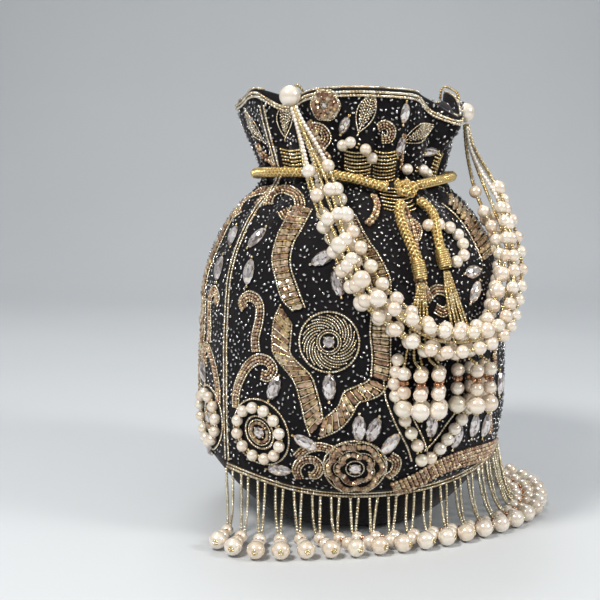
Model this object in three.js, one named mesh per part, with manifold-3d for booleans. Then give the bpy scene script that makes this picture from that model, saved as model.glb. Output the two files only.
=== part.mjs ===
// Potli bag: a gathered velvet pouch with a drawstring, two tassels, a pearl handle and a beaded fringe.
// Millimetres, +Z up. The origin is the centre of the flat spot that the bag stands on.
// Azimuth 0 is the middle of the front panel (-Y), and the side seams are at -90 and +90 degrees.
import * as THREE from 'three';
import { mergeVertices } from 'three/addons/utils/BufferGeometryUtils.js';
import Module from 'manifold-3d';

const wasm = await Module();
wasm.setup();

// Body of the bag
const RIM_HEIGHT = 255;
const NECK_HEIGHT = 209;
const WIDEST_HEIGHT = 82;
const WIDEST_RADIUS = 94.4;
const BASE_RADIUS = 50;
const VELVET = 2;
const SEAM_GAP = 0.3;
// Part of a column by which each panel stops short of a side seam
const SIDE_INSET = 0.05;
const PLEATS = 20;
const PLEAT_DEPTH = 4.6;
const COLUMNS_PER_PLEAT = 4;
// Mean of a lobe, taken off so that the gathers don't widen the neck, and the heights between which they fade
const PLEAT_MEAN = 0.64;
const PLEAT_START = 160;
const PLEAT_END = 265;
const RUFFLE_START = 215;
// Outline of the upper body as height and radius
const OUTLINE = [
  [RIM_HEIGHT, 66],
  [245, 64.5],
  [230, 60.5],
  [217, 56.5],
  [NECK_HEIGHT, 54.5],
  [200, 60],
  [193, 68],
  [184, 75.5],
  [173, 82.5],
  [160, 88.5],
  [148, 91.5],
  [132, 93],
  [108, 94.2],
  [WIDEST_HEIGHT, WIDEST_RADIUS],
];
const UPPER_ROWS = [255, 247, 235, 221, 208, 198, 187, 170, 140, 82];
const LOWER_ROWS = [0.6, 1];
const UNDERSIDE_ROWS = [0.5, 1];

// Bottom seam: lowest at the azimuth towards which the stuffed bag leans, raised at its two corners
const LEAN_AZIMUTH = -40;
const SEAM_RADIUS = 74;
const SEAM_SPREAD = 17;
const SEAM_HEIGHT = 29;
const SEAM_RISE = 16;
const CORNER_OUT = { left: 12, right: 8 };
const CORNER_UP = { left: 7, right: 4 };
const CORNER_SHARPNESS = 16;
// Exponents of how the seam widens away from the lean, and of how the underside flattens towards the base
const SPREAD_CURVE = 0.8;
const UNDERSIDE_CURVE = 1.7;

// Ruffles of the rim as azimuth, outward push, drop of the edge and half-width in degrees
const RUFFLES = [
  [-128, 5, 2, 16],
  [-96, 4, -3, 12],
  [-74, -5, 3, 9],
  [-38, 3, -1, 22],
  [4, -6, 1, 9],
  [22, 7, 13, 11],
  [41, -9, -3, 9],
  [72, 5, 0, 14],
  [104, -5, 3, 10],
  [132, 5, -2, 14],
  [168, -4, 2, 12],
  [196, 5, -1, 12],
];

// Lining
const LINING_TOP = 243;
const LINING_OUTLINE = [
  [4, 0],
  [4, 32],
  [16, 50],
  [32, 64],
  [54, 79],
  [84, 88],
  [130, 87.5],
  [165, 79],
  [188, 62],
  [206, 47],
  [LINING_TOP, 53],
];
const LINING_THICKNESS = 0.9;
const LINING_SIDES = 20;

// Bead edgings
const EDGING_RADIUS = 1.5;
// Clearances of the edgings from the velvet, at the rim, the side seams and the hem
const RIM_CLEARANCE = 0.9;
const RIM_EDGING_DROP = 2;
const SIDE_CLEARANCE = 0.5;
const SIDE_CORNER_RISE = 5;
const HEM_CLEARANCE = 0.6;
const HEM_STEPS = 36;

// Fringe: azimuth on the seam, azimuth and distance from the axis of the last pearl
const PENDANTS = 26;
const FRINGE_GUIDE = [
  [-88, -80, 116],
  [-80, -72, 118],
  [-72, -64, 114],
  [-64, -57, 107],
  [-54, -48, 101],
  [-44, -38, 97],
  [-34, -27, 93.5],
  [-24, -17, 93],
  [-13, -5, 94],
  [-2, 8, 97],
  [8, 20, 103],
  [18, 31, 110],
  [30, 43, 117],
  [44, 56, 123],
  [58, 68, 127],
  [72, 80, 127],
  [82, 90, 125],
  [88, 98, 121],
];
const BIG_PEARL = 5.1;
const SMALL_PEARL = 3.8;
const SEED = 1.1;
const COPPER_SEEDS = 3;
const STRAND_PITCH = 2.3;
const DROP_SIDES = 6;
const FLOOR_GAP = 0.5;
const SMALL_PEARL_LIFT = 0.2;
const DROP_DIP = 0.035;
// Shares of a strand's run and fall at which it bends from hanging to lying
const BEND_ACROSS = 0.35;
const BEND_DOWN = 0.75;

// Drawstring and tassels
const CORD_RADIUS = 2.8;
// Clearance of the cord from the gathers, the share of their depth it stands on, and its number of corners
const CORD_CLEARANCE = 1.2;
const PLEAT_SHARE = 0.36;
const DRAWSTRING_STEPS = 32;
// Half-width in degrees of the stretch where the cord rises over a side seam's beads
const SEAM_CROSSING = 12;
// Route of the cord round the neck as azimuth and height, from the knot round the back to the knot
const DRAWSTRING_ROUTE = [
  [-5, 203.6],
  [10, 206],
  [28, 208],
  [50, 209],
  [76, 209.3],
  [90, 209.5],
  [104, 209.6],
  [130, 210],
  [170, 210],
  [210, 210],
  [240, 210.5],
  [256, 211],
  [270, 211],
  [284, 211],
  [305, 210],
  [320, 207.5],
  [332, 204],
  [337.5, 202.6],
];
const KNOT = { azimuth: -13.5, height: 202, standoff: 9.4, width: 14, tall: 11 };
// Routes of the tails and tassels as azimuth, height and stand-off from the bag
const TAIL_ROUTES = {
  left: [
    [-18.5, 194.5, 5.6],
    [-20.3, 190, 5],
    [-20.6, 184.6, 4.6],
    [-19.6, 176, 4.6],
    [-18.4, 168.8, 5.2],
    [-17.6, 164.5, 5.4],
  ],
  right: [
    [-7.6, 195.5, 5.6],
    [-5.2, 191, 5.2],
    [-4.6, 186, 4.8],
    [-6, 179, 4.8],
    [-7, 173.5, 5.2],
    [-7.2, 169.6, 5.4],
  ],
};
const WRAP = { radius: 4.1, length: 11 };
const TASSEL_ROUTES = {
  left: [
    [-16.8, 152, 4.4],
    [-17, 142, 2.6],
    [-17.2, 128, 2],
    [-17.4, 114, 2],
    [-17.5, 106.5, 5.4],
  ],
  right: [
    [-6.6, 157, 4.4],
    [-5, 147, 2.6],
    [-2, 131, 2],
    [0.6, 118, 1.8],
    [1.8, 106.5, 5.4],
  ],
};
// Shares of a tassel's length at which its strands have a ring of corners
const TASSEL_STEPS = [0, 0.3, 0.6, 0.84, 0.94, 1];
const TASSEL_STRANDS = 5;
const TASSEL_SPACING = 10.6;
const TASSEL_TOP_SPACING = 2.2;
const TASSEL_TOP_STEP = 1.6;
// Strands 2 and 4 end in front of the others: their stand-off at the top and share of the spacing below
const TASSEL_TOP_LIFT = 0.4;
const TASSEL_LIFT_SHARE = 0.88;
const TASSEL_LIFT_CURVE = 14;
const TASSEL_HUB = { radius: 2.6, length: 3 };
const PEARL_OVERLAP = 0.4;

// Handle: HANDLE_BEAD is the even thickness that has the weight of pearls and seeds threaded by turns.
// Route of the handle's middle as azimuth, distance from the axis and height
const HANDLE_ROUTE = [
  [-68, 74.5, 252.7],
  [-62.2, 78, 238],
  [-56.4, 82, 222.7],
  [-51.7, 86.5, 207.6],
  [-47.6, 91, 193.2],
  [-43.9, 96, 180],
  [-40.6, 101, 167],
  [-36, 105.5, 151.6],
  [-32.3, 107, 143.7],
  [-27.6, 107.5, 136.2],
  [-23, 108, 129.2],
  [-18.4, 108.2, 123.9],
  [-13.5, 108.2, 120.8],
  [-8.3, 108.7, 119.6],
  [-3, 108.9, 119.8],
  [3, 108, 121.2],
  [7.5, 107.5, 124.5],
  [11.5, 106.5, 129.5],
  [15, 105, 136.2],
  [18.5, 103.6, 144.3],
  [22.3, 102, 153.8],
  [25.2, 99.4, 163.5],
  [28.6, 94, 177.5],
  [33, 86.5, 192],
  [37.4, 79.2, 206.6],
  [41, 73.4, 220.5],
  [42.5, 70.4, 231.5],
  [43, 68.3, 247],
];
const HANDLE_PEARL = 6;
const HANDLE_STRANDS = 7;
const HANDLE_SEED = 1.25;
const HANDLE_BEAD = 3;
const HANDLE_RING = 7.1;
const HANDLE_TIE = 2.9;
const HANDLE_SEED_SHARE = 0.2;
const HANDLE_STEPS = 16;
// Loops of the handle: share of their start that leans inwards, and how they pass over the rim
const LOOP_LEAN = 0.75;
const LOOP_GAP = 0.6;
const LOOP_RISE = 5;
const LOOP_BULGE = 0.3;
const LOOP_ARCH = 2;
const LOOP_KNEE = 0.4;
const LOOP_RADIUS = 0.9;
const LOOP_STEPS = 10;

const TO_RADIANS = Math.PI / 180;
const group = new THREE.Group();

// Materials
function material(color, roughness, metalness = 0) {
  return new THREE.MeshStandardMaterial({ color, roughness, metalness });
}
const velvet = material(0x0d0c0d, 0.95);
const satin = material(0x1b1719, 0.45);
const beads = material(0xb9a98a, 0.3, 0.6);
const goldCord = material(0xb28c3e, 0.4, 0.7);
const pearl = material(0xece3d6, 0.25);

function addNode(name, geometry, look) {
  const mesh = new THREE.Mesh(geometry, look);
  mesh.name = name;
  group.add(mesh);
}

// Monotone cubic through the outline's points, so that the wall has no ripples between them
function outlineRadius(height) {
  const points = [...OUTLINE].reverse();
  const z = points.map((point) => point[0]);
  const r = points.map((point) => point[1]);
  const last = z.length - 1;
  const step = z.slice(1).map((value, i) => value - z[i]);
  const slope = step.map((value, i) => (r[i + 1] - r[i]) / value);
  const tangent = z.map((value, i) => {
    if (i === 0) return 0;
    if (i === last) return slope[last - 1];
    if (slope[i - 1] * slope[i] <= 0) return 0;
    const before = 2 * step[i] + step[i - 1];
    const after = step[i] + 2 * step[i - 1];
    return (before + after) / (before / slope[i - 1] + after / slope[i]);
  });
  let k = 0;
  while (k < last - 1 && height > z[k + 1]) k += 1;
  const t = THREE.MathUtils.clamp((height - z[k]) / step[k], 0, 1);
  const t2 = t * t;
  const t3 = t2 * t;
  return (
    (2 * t3 - 3 * t2 + 1) * r[k] +
    (t3 - 2 * t2 + t) * step[k] * tangent[k] +
    (3 * t2 - 2 * t3) * r[k + 1] +
    (t3 - t2) * step[k] * tangent[k + 1]
  );
}

// Rounded lobes with sharp creases, strongest at the drawstring
function pleat(azimuth, height) {
  const above = THREE.MathUtils.smoothstep(height, NECK_HEIGHT, PLEAT_END);
  const below = THREE.MathUtils.smoothstep(height, PLEAT_START, NECK_HEIGHT);
  const lobe = Math.abs(Math.cos((PLEATS / 2) * azimuth * TO_RADIANS)) - PLEAT_MEAN;
  return PLEAT_DEPTH * lobe * below * (1 - above);
}

function ruffle(azimuth, height) {
  const share = THREE.MathUtils.smoothstep(height, RUFFLE_START, RIM_HEIGHT);
  let push = 0;
  let drop = 0;
  for (const [centre, out, down, halfWidth] of RUFFLES) {
    const away = THREE.MathUtils.euclideanModulo(azimuth - centre + 180, 360) - 180;
    const weight = Math.exp(-((away / halfWidth) ** 2));
    push += out * weight;
    drop += down * weight;
  }
  return { push: push * share, drop: drop * share };
}

// Bottom seam's radius and height at an azimuth; behind the corners it is only the start of the underside
function seam(azimuth) {
  const side = Math.sin(azimuth * TO_RADIANS);
  const lean = Math.min(1 - Math.cos((azimuth - LEAN_AZIMUTH) * TO_RADIANS), 1);
  const corner = Math.abs(side) ** CORNER_SHARPNESS;
  const name = side < 0 ? 'left' : 'right';
  return {
    radius: SEAM_RADIUS + SEAM_SPREAD * lean ** SPREAD_CURVE + CORNER_OUT[name] * corner,
    height: SEAM_HEIGHT + SEAM_RISE * lean + CORNER_UP[name] * corner,
  };
}

// Outer surface of the velvet at an azimuth and a row: [radius, height]
function upperPoint(azimuth, height) {
  const { push, drop } = ruffle(azimuth, height);
  return [outlineRadius(height) + pleat(azimuth, height) + push, height - drop];
}
function lowerPoint(azimuth, share) {
  const end = seam(azimuth);
  return [
    end.radius + (WIDEST_RADIUS - end.radius) * (1 - share * share),
    WIDEST_HEIGHT - (WIDEST_HEIGHT - end.height) * share,
  ];
}
function undersidePoint(azimuth, share) {
  const start = seam(azimuth);
  const left = 1 - share;
  return [BASE_RADIUS + (start.radius - BASE_RADIUS) * left, start.height * left ** UNDERSIDE_CURVE];
}

const ROWS = [
  ...UPPER_ROWS.map((height) => (azimuth) => upperPoint(azimuth, height)),
  ...LOWER_ROWS.map((share) => (azimuth) => lowerPoint(azimuth, share)),
  ...UNDERSIDE_ROWS.map((share) => (azimuth) => undersidePoint(azimuth, share)),
];
const SEAM_ROW = UPPER_ROWS.length + LOWER_ROWS.length - 1;
const COLUMNS = PLEATS * COLUMNS_PER_PLEAT;
const HALF = COLUMNS / 2;

function place(azimuth, radius, height) {
  const angle = azimuth * TO_RADIANS;
  return new THREE.Vector3(radius * Math.sin(angle), -radius * Math.cos(angle), height);
}

// Point of a panel's outer (depth 0) or inner (depth VELVET) face at a column and row
function panelPoint(column, row, depth, inset) {
  const azimuth = -90 + (360 * (column + inset.column)) / COLUMNS;
  const here = ROWS[row](azimuth);
  const above = ROWS[Math.max(row - 1, 0)](azimuth);
  const below = ROWS[Math.min(row + 1, ROWS.length - 1)](azimuth);
  const across = [above[1] - below[1], below[0] - above[0]];
  const length = Math.hypot(...across);
  const flat = row === ROWS.length - 1;
  const normal = flat ? [0, -1] : [across[0] / length, across[1] / length];
  let [radius, height] = here;
  if (inset.row) {
    const along = Math.hypot(below[0] - here[0], below[1] - here[1]);
    const towards = inset.row > 0 ? below : above;
    const span = inset.row > 0 ? along : Math.hypot(above[0] - here[0], above[1] - here[1]);
    radius += ((towards[0] - radius) * SEAM_GAP) / span / 2;
    height += ((towards[1] - height) * SEAM_GAP) / span / 2;
  }
  return place(azimuth, radius - normal[0] * depth, height - normal[1] * depth);
}

// Closed solid from the cells of the grid that belong to a panel, with walls round its edge
function panelGeometry(owns, insetOf) {
  const positions = [];
  const triangle = (a, b, c) => {
    if (a.distanceTo(b) < 1e-4 || b.distanceTo(c) < 1e-4 || c.distanceTo(a) < 1e-4) return;
    positions.push(...a.toArray(), ...b.toArray(), ...c.toArray());
  };
  const quad = (a, b, c, d) => {
    triangle(a, b, c);
    triangle(a, c, d);
  };
  const corner = (column, row, depth) =>
    row === ROWS.length
      ? new THREE.Vector3(0, 0, depth)
      : panelPoint(column % COLUMNS, row, depth, insetOf(column % COLUMNS, row));
  for (let column = 0; column < COLUMNS; column += 1) {
    for (let row = 0; row < ROWS.length; row += 1) {
      if (!owns(column, row)) continue;
      const outer = [0, 1, 1, 0].map((dc, k) => corner(column + dc, row + (k > 1 ? 1 : 0), 0));
      const inner = [0, 1, 1, 0].map((dc, k) => corner(column + dc, row + (k > 1 ? 1 : 0), VELVET));
      quad(outer[3], outer[2], outer[1], outer[0]);
      quad(inner[0], inner[1], inner[2], inner[3]);
      const neighbour = [
        [column, row - 1],
        [(column + 1) % COLUMNS, row],
        [column, row + 1],
        [(column + COLUMNS - 1) % COLUMNS, row],
      ];
      for (let side = 0; side < 4; side += 1) {
        const [nextColumn, nextRow] = neighbour[side];
        if (nextRow >= 0 && owns(nextColumn, nextRow)) continue;
        if (nextRow === ROWS.length) continue;
        const a = side;
        const b = (side + 1) % 4;
        quad(outer[a], outer[b], inner[b], inner[a]);
      }
    }
  }
  return new THREE.BufferGeometry().setAttribute(
    'position',
    new THREE.Float32BufferAttribute(positions, 3),
  );
}

// Front panel: columns of the front half, down to the bottom seam
function buildFrontPanel() {
  const owns = (column, row) => column < HALF && row < SEAM_ROW;
  const insetOf = (column, row) => ({
    column: column === 0 ? SIDE_INSET : column === HALF ? -SIDE_INSET : 0,
    row: row === SEAM_ROW ? -1 : 0,
  });
  addNode('front_panel', panelGeometry(owns, insetOf), velvet);
}

// Back panel: columns of the back half, and the whole underside
function buildBackPanel() {
  const owns = (column, row) => (column >= HALF && column < COLUMNS) || row >= SEAM_ROW;
  const insetOf = (column, row) => {
    const upper = row < SEAM_ROW;
    const front = column > 0 && column < HALF;
    return {
      column: upper && column === 0 ? -SIDE_INSET : upper && column === HALF ? SIDE_INSET : 0,
      row: row === SEAM_ROW && (front || column === 0 || column === HALF) ? 1 : 0,
    };
  };
  addNode('back_panel', panelGeometry(owns, insetOf), velvet);
}

// Lining: a closed profile turned round the axis
function buildLining() {
  const outer = LINING_OUTLINE.map(([height, radius]) => new THREE.Vector2(radius, height));
  const inner = LINING_OUTLINE.map(([height, radius], i) => {
    const floor = i < 2;
    const inset = floor ? (radius ? LINING_THICKNESS / 2 : 0) : LINING_THICKNESS;
    return new THREE.Vector2(radius - inset, height + (floor ? LINING_THICKNESS : 0.2));
  }).reverse();
  inner[0].y = LINING_TOP;
  addNode('lining', new THREE.LatheGeometry([...outer, ...inner], LINING_SIDES).rotateX(Math.PI / 2), satin);
}

// Rings of a loft along points, with a radius at each point
function tubeRings(points, radii, sides, closed, up) {
  const count = points.length;
  return points.map((point, i) => {
    const before = points[closed ? (i + count - 1) % count : Math.max(i - 1, 0)];
    const after = points[closed ? (i + 1) % count : Math.min(i + 1, count - 1)];
    const along = after.clone().sub(before).normalize();
    const side = new THREE.Vector3().crossVectors(along, up(point)).normalize();
    const rise = new THREE.Vector3().crossVectors(along, side).normalize();
    return Array.from({ length: sides }, (unused, k) => {
      const angle = (2 * Math.PI * (k + 0.5)) / sides;
      return point
        .clone()
        .addScaledVector(side, radii[i] * Math.cos(angle))
        .addScaledVector(rise, radii[i] * Math.sin(angle));
    });
  });
}

// Closed solid through rings: a ring of rings, or a rod with flat ends
function loft(rings, closed) {
  const sides = rings[0].length;
  const vertices = rings.flat().map((point) => point.toArray()).flat();
  const index = [];
  const spans = closed ? rings.length : rings.length - 1;
  for (let i = 0; i < spans; i += 1) {
    const j = (i + 1) % rings.length;
    for (let k = 0; k < sides; k += 1) {
      const m = (k + 1) % sides;
      index.push(i * sides + k, i * sides + m, j * sides + m);
      index.push(i * sides + k, j * sides + m, j * sides + k);
    }
  }
  if (!closed) {
    const end = (rings.length - 1) * sides;
    for (let k = 1; k < sides - 1; k += 1) {
      index.push(0, k + 1, k);
      index.push(end, end + k, end + k + 1);
    }
  }
  const geometry = new THREE.BufferGeometry();
  geometry.setAttribute('position', new THREE.Float32BufferAttribute(vertices, 3));
  geometry.setIndex(index);
  return geometry;
}

const outwards = (point) => new THREE.Vector3(point.x, point.y, 0).normalize();

function rod(points, radius, sides) {
  const radii = points.map(() => radius);
  return loft(tubeRings(points, radii, sides, false, outwards), false);
}

function toSolid(geometry) {
  const bare = new THREE.BufferGeometry();
  bare.setAttribute('position', geometry.getAttribute('position'));
  bare.setIndex(geometry.index);
  const merged = mergeVertices(bare, 1e-4);
  const vertProperties = new Float32Array(merged.attributes.position.array);
  const triVerts = new Uint32Array(merged.index.array);
  return new wasm.Manifold(new wasm.Mesh({ numProp: 3, vertProperties, triVerts }));
}

function toGeometry(solid) {
  const mesh = solid.getMesh();
  const geometry = new THREE.BufferGeometry();
  geometry.setAttribute('position', new THREE.Float32BufferAttribute(mesh.vertProperties, 3));
  geometry.setIndex(Array.from(mesh.triVerts));
  return geometry;
}

function joined(geometries) {
  return toGeometry(geometries.map(toSolid).reduce((whole, piece) => whole.add(piece)));
}

// Distance of the velvet's outer face from the axis at a height
function bagRadius(azimuth, height) {
  if (height >= WIDEST_HEIGHT) return upperPoint(azimuth, height)[0];
  const share = (WIDEST_HEIGHT - height) / (WIDEST_HEIGHT - seam(azimuth).height);
  return lowerPoint(azimuth, Math.min(share, 1))[0];
}

// Bead edging of the rim, just outside the velvet
function buildRimTrim() {
  const points = Array.from({ length: COLUMNS }, (unused, column) => {
    const azimuth = -90 + (360 * column) / COLUMNS;
    const [radius, height] = upperPoint(azimuth, RIM_HEIGHT - RIM_EDGING_DROP);
    return place(azimuth, radius + EDGING_RADIUS + RIM_CLEARANCE, height);
  });
  const radii = points.map(() => EDGING_RADIUS);
  const upright = () => new THREE.Vector3(0, 0, 1);
  addNode('rim_trim', loft(tubeRings(points, radii, 4, true, upright), true), beads);
}

// Bead lines over a side seam, from below the rim edging to the corner
function buildSideTrim(name, azimuth) {
  const corner = seam(azimuth);
  const rows = ROWS.slice(1, SEAM_ROW).map((row) => row(azimuth));
  const offset = EDGING_RADIUS + SIDE_CLEARANCE;
  const points = rows.map(([radius, height]) => place(azimuth, radius + offset, height));
  points.push(place(azimuth, corner.radius + offset, corner.height + SIDE_CORNER_RISE));
  addNode(name, rod(points, EDGING_RADIUS, 4), beads);
}

// Point of the bottom edging's middle at an azimuth
function hemPoint(azimuth, drop = 0) {
  const { radius, height } = seam(azimuth);
  return place(azimuth, radius + EDGING_RADIUS + HEM_CLEARANCE, height - drop);
}

function buildBottomTrim() {
  const points = Array.from({ length: HEM_STEPS + 1 }, (unused, i) => hemPoint(-90 + (180 * i) / HEM_STEPS));
  addNode('bottom_trim', rod(points, EDGING_RADIUS, 4), beads);
}

// Two small pearls, the copper seeds between them and the big pearl, turned about their thread
function pearlDropProfile() {
  const bead = (centre, radius, share) => [radius * Math.sqrt(1 - share * share), centre + radius * share];
  const first = SMALL_PEARL;
  const second = first + 2 * SMALL_PEARL + COPPER_SEEDS;
  const third = second + SMALL_PEARL + BIG_PEARL;
  return [
    [0, 0],
    bead(first, SMALL_PEARL, -0.6),
    bead(first, SMALL_PEARL, 0.35),
    [SEED, first + SMALL_PEARL + COPPER_SEEDS / 2],
    bead(second, SMALL_PEARL, 0),
    [SMALL_PEARL / 2, second + SMALL_PEARL],
    bead(third, BIG_PEARL, -0.35),
    bead(third, BIG_PEARL, 0.6),
    [0, third + BIG_PEARL],
  ];
}
const DROP_LENGTH = 4 * SMALL_PEARL + COPPER_SEEDS + 2 * BIG_PEARL;

// Pearl drop that starts at a point and runs along a direction
function pearlDrop(start, direction, sides) {
  const profile = pearlDropProfile().map(([radius, along]) => new THREE.Vector2(radius, along));
  const geometry = new THREE.LatheGeometry(profile, sides);
  const turn = new THREE.Quaternion().setFromUnitVectors(new THREE.Vector3(0, 1, 0), direction);
  geometry.applyQuaternion(turn);
  geometry.translate(start.x, start.y, start.z);
  return geometry;
}

// One pendant: two bead strands from the edging, which end in one pearl drop lying on the table
function pendant(from, to, alongSeam) {
  const away = new THREE.Vector3(to.x - from.x, to.y - from.y, 0).normalize();
  const dip = new THREE.Vector3(away.x, away.y, DROP_DIP).normalize();
  const start = to.clone().addScaledVector(dip, -(DROP_LENGTH - BIG_PEARL));
  start.z = SMALL_PEARL + FLOOR_GAP + SMALL_PEARL_LIFT;
  const direction = to.clone().sub(start).normalize();
  const parts = [pearlDrop(start, direction, DROP_SIDES)];
  for (const side of [-1, 1]) {
    const top = from.clone().addScaledVector(alongSeam, side * STRAND_PITCH);
    const end = start.clone().addScaledVector(direction, 1).addScaledVector(alongSeam, side * SEED * 0.6);
    const bend = new THREE.Vector3(
      THREE.MathUtils.lerp(top.x, end.x, BEND_ACROSS),
      THREE.MathUtils.lerp(top.y, end.y, BEND_ACROSS),
      THREE.MathUtils.lerp(top.z, end.z, BEND_DOWN),
    );
    const curve = new THREE.QuadraticBezierCurve3(top, bend, end);
    parts.push(rod(curve.getPoints(2), SEED, 4));
  }
  return joined(parts);
}

function buildFringe() {
  const seamAzimuths = FRINGE_GUIDE.map((row) => row[0]);
  const floorHeight = BIG_PEARL + FLOOR_GAP;
  const ends = FRINGE_GUIDE.map(([unused, azimuth, radius]) => place(azimuth, radius, floorHeight));
  const tops = seamAzimuths.map((azimuth) => hemPoint(azimuth, 2 * EDGING_RADIUS));
  const endCurve = new THREE.CatmullRomCurve3(ends);
  const topCurve = new THREE.CatmullRomCurve3(tops);
  for (let i = 0; i < PENDANTS; i += 1) {
    const share = i / (PENDANTS - 1);
    const from = topCurve.getPointAt(share);
    const alongSeam = topCurve.getTangentAt(share);
    const name = 'fringe_pendant_' + String(i + 1).padStart(2, '0');
    addNode(name, pendant(from, endCurve.getPointAt(share), alongSeam), pearl);
  }
}

// Cord round the neck, open at the knot
function buildDrawstring() {
  const points = DRAWSTRING_ROUTE.map(([azimuth, height]) => {
    const sideways = THREE.MathUtils.euclideanModulo(azimuth, 180) - 90;
    const overTrim = (2 * EDGING_RADIUS + 0.9) * Math.exp(-((sideways / SEAM_CROSSING) ** 2));
    const neck = outlineRadius(height - CORD_RADIUS) + PLEAT_DEPTH * PLEAT_SHARE;
    return place(azimuth, neck + CORD_RADIUS + CORD_CLEARANCE + overTrim, height);
  });
  const route = new THREE.CatmullRomCurve3(points).getSpacedPoints(DRAWSTRING_STEPS);
  addNode('drawstring', rod(route, CORD_RADIUS, 8), goldCord);
}

// The knot: a barrel of wound cord, turned about its own tangent to the neck
function buildKnot() {
  const half = KNOT.width / 2;
  const profile = [
    [0, -half],
    [KNOT.tall * 0.26, -half],
    [KNOT.tall * 0.46, -half * 0.5],
    [KNOT.tall * 0.5, 0],
    [KNOT.tall * 0.46, half * 0.5],
    [KNOT.tall * 0.26, half],
    [0, half],
  ].map(([radius, along]) => new THREE.Vector2(radius, along));
  const geometry = new THREE.LatheGeometry(profile, 12);
  const centre = place(KNOT.azimuth, outlineRadius(KNOT.height) + KNOT.standoff, KNOT.height);
  const tangent = new THREE.Vector3(-centre.y, centre.x, 0).normalize();
  const turn = new THREE.Quaternion().setFromUnitVectors(new THREE.Vector3(0, 1, 0), tangent);
  geometry.applyQuaternion(turn);
  geometry.translate(centre.x, centre.y, centre.z);
  addNode('drawstring_knot', geometry, goldCord);
}

function onBag([azimuth, height, standoff]) {
  return place(azimuth, bagRadius(azimuth, height) + standoff, height);
}

// A tail of the drawstring, its bound end and its tassel
function buildTassel(name) {
  const tail = new THREE.CatmullRomCurve3(TAIL_ROUTES[name].map(onBag));
  addNode('drawstring_tail_' + name, rod(tail.getSpacedPoints(10), CORD_RADIUS, 8), goldCord);

  const tailEnd = tail.getPoint(1);
  const hang = new THREE.CatmullRomCurve3(TASSEL_ROUTES[name].map(onBag));
  const along = hang.getPoint(0).sub(tailEnd).normalize();
  const wrapStart = tailEnd.clone().addScaledVector(along, 3 * SEAM_GAP);
  const wrapEnd = wrapStart.clone().addScaledVector(along, WRAP.length);
  const wrapPoints = [0, 0.15, 0.85, 1].map((t) => wrapStart.clone().lerp(wrapEnd, t));
  const wrapRadii = [0.8, 1, 1, 0.75].map((share) => share * WRAP.radius);
  const wrapRings = tubeRings(wrapPoints, wrapRadii, 8, false, outwards);
  addNode('tassel_wrap_' + name, loft(wrapRings, false), goldCord);

  const parts = [];
  const top = wrapEnd.clone().addScaledVector(along, SEAM_GAP);
  const hub = [0, TASSEL_HUB.length].map((distance) => top.clone().addScaledVector(along, distance));
  parts.push(rod(hub, TASSEL_HUB.radius, 8));
  for (let i = 0; i < TASSEL_STRANDS; i += 1) {
    const outer = i % 2;
    const across = (i - (TASSEL_STRANDS - 1) / 2) / 2;
    const points = TASSEL_STEPS.map((share) => {
      const point = hang.getPointAt(share);
      const normal = outwards(point);
      const side = new THREE.Vector3(-normal.y, normal.x, 0);
      const reach = THREE.MathUtils.lerp(TASSEL_TOP_SPACING, TASSEL_SPACING, share ** 1.5);
      const stand = TASSEL_SPACING * TASSEL_LIFT_SHARE;
      const lift = outer * THREE.MathUtils.lerp(TASSEL_TOP_LIFT, stand, share ** TASSEL_LIFT_CURVE);
      return point.addScaledVector(side, across * reach).addScaledVector(normal, lift);
    });
    points[0] = top.clone().addScaledVector(along, 1).add(new THREE.Vector3(across * TASSEL_TOP_STEP, 0, 0));
    parts.push(rod(points, SEED, 4));
    const last = points[points.length - 1].clone();
    last.z += PEARL_OVERLAP;
    parts.push(pearlDrop(last, new THREE.Vector3(0, 0, -1), DROP_SIDES));
  }
  addNode('tassel_' + name, joined(parts), pearl);
}

// Handle
const handlePoints = HANDLE_ROUTE.map(([azimuth, radius, height]) => place(azimuth, radius, height));
const handleCurve = new THREE.CatmullRomCurve3(handlePoints);
const handleEnds = { left: handleCurve.getPoint(0), right: handleCurve.getPoint(1) };

function buildHandlePearls() {
  for (const name of ['left', 'right']) {
    const geometry = new THREE.SphereGeometry(HANDLE_PEARL, 12, 8);
    const centre = handleEnds[name];
    geometry.translate(centre.x, centre.y, centre.z);
    addNode('handle_pearl_' + name, geometry, pearl);
  }
}

// Strand 0 runs down the middle and the others round it: narrow seeds at both ends, thick pearls between
function buildHandleStrand(i) {
  const startShare = (HANDLE_PEARL + SEAM_GAP) / handleCurve.getLength();
  const angle = (2 * Math.PI * i) / (HANDLE_STRANDS - 1);
  const points = [];
  const radii = [];
  for (let step = 0; step <= HANDLE_STEPS; step += 1) {
    const t = startShare + ((1 - 2 * startShare) * step) / HANDLE_STEPS;
    const point = handleCurve.getPointAt(t);
    const tangent = handleCurve.getTangentAt(t);
    const normal = outwards(point);
    normal.addScaledVector(tangent, -normal.dot(tangent)).normalize();
    const side = new THREE.Vector3().crossVectors(tangent, normal);
    const fromEnd = Math.min(t, 1 - t);
    const full = THREE.MathUtils.smoothstep(fromEnd, 0.03, HANDLE_SEED_SHARE);
    const reach = i === 0 ? 0 : THREE.MathUtils.lerp(HANDLE_TIE, HANDLE_RING, full);
    point.addScaledVector(side, reach * Math.cos(angle)).addScaledVector(normal, reach * Math.sin(angle));
    points.push(point);
    const fat = THREE.MathUtils.smoothstep(fromEnd, HANDLE_SEED_SHARE * 0.7, HANDLE_SEED_SHARE * 1.05);
    radii.push(THREE.MathUtils.lerp(HANDLE_SEED, HANDLE_BEAD, fat));
  }
  const rings = tubeRings(points, radii, 8, false, outwards);
  addNode('handle_strand_' + (i + 1), loft(rings, false), pearl);
}

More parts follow.
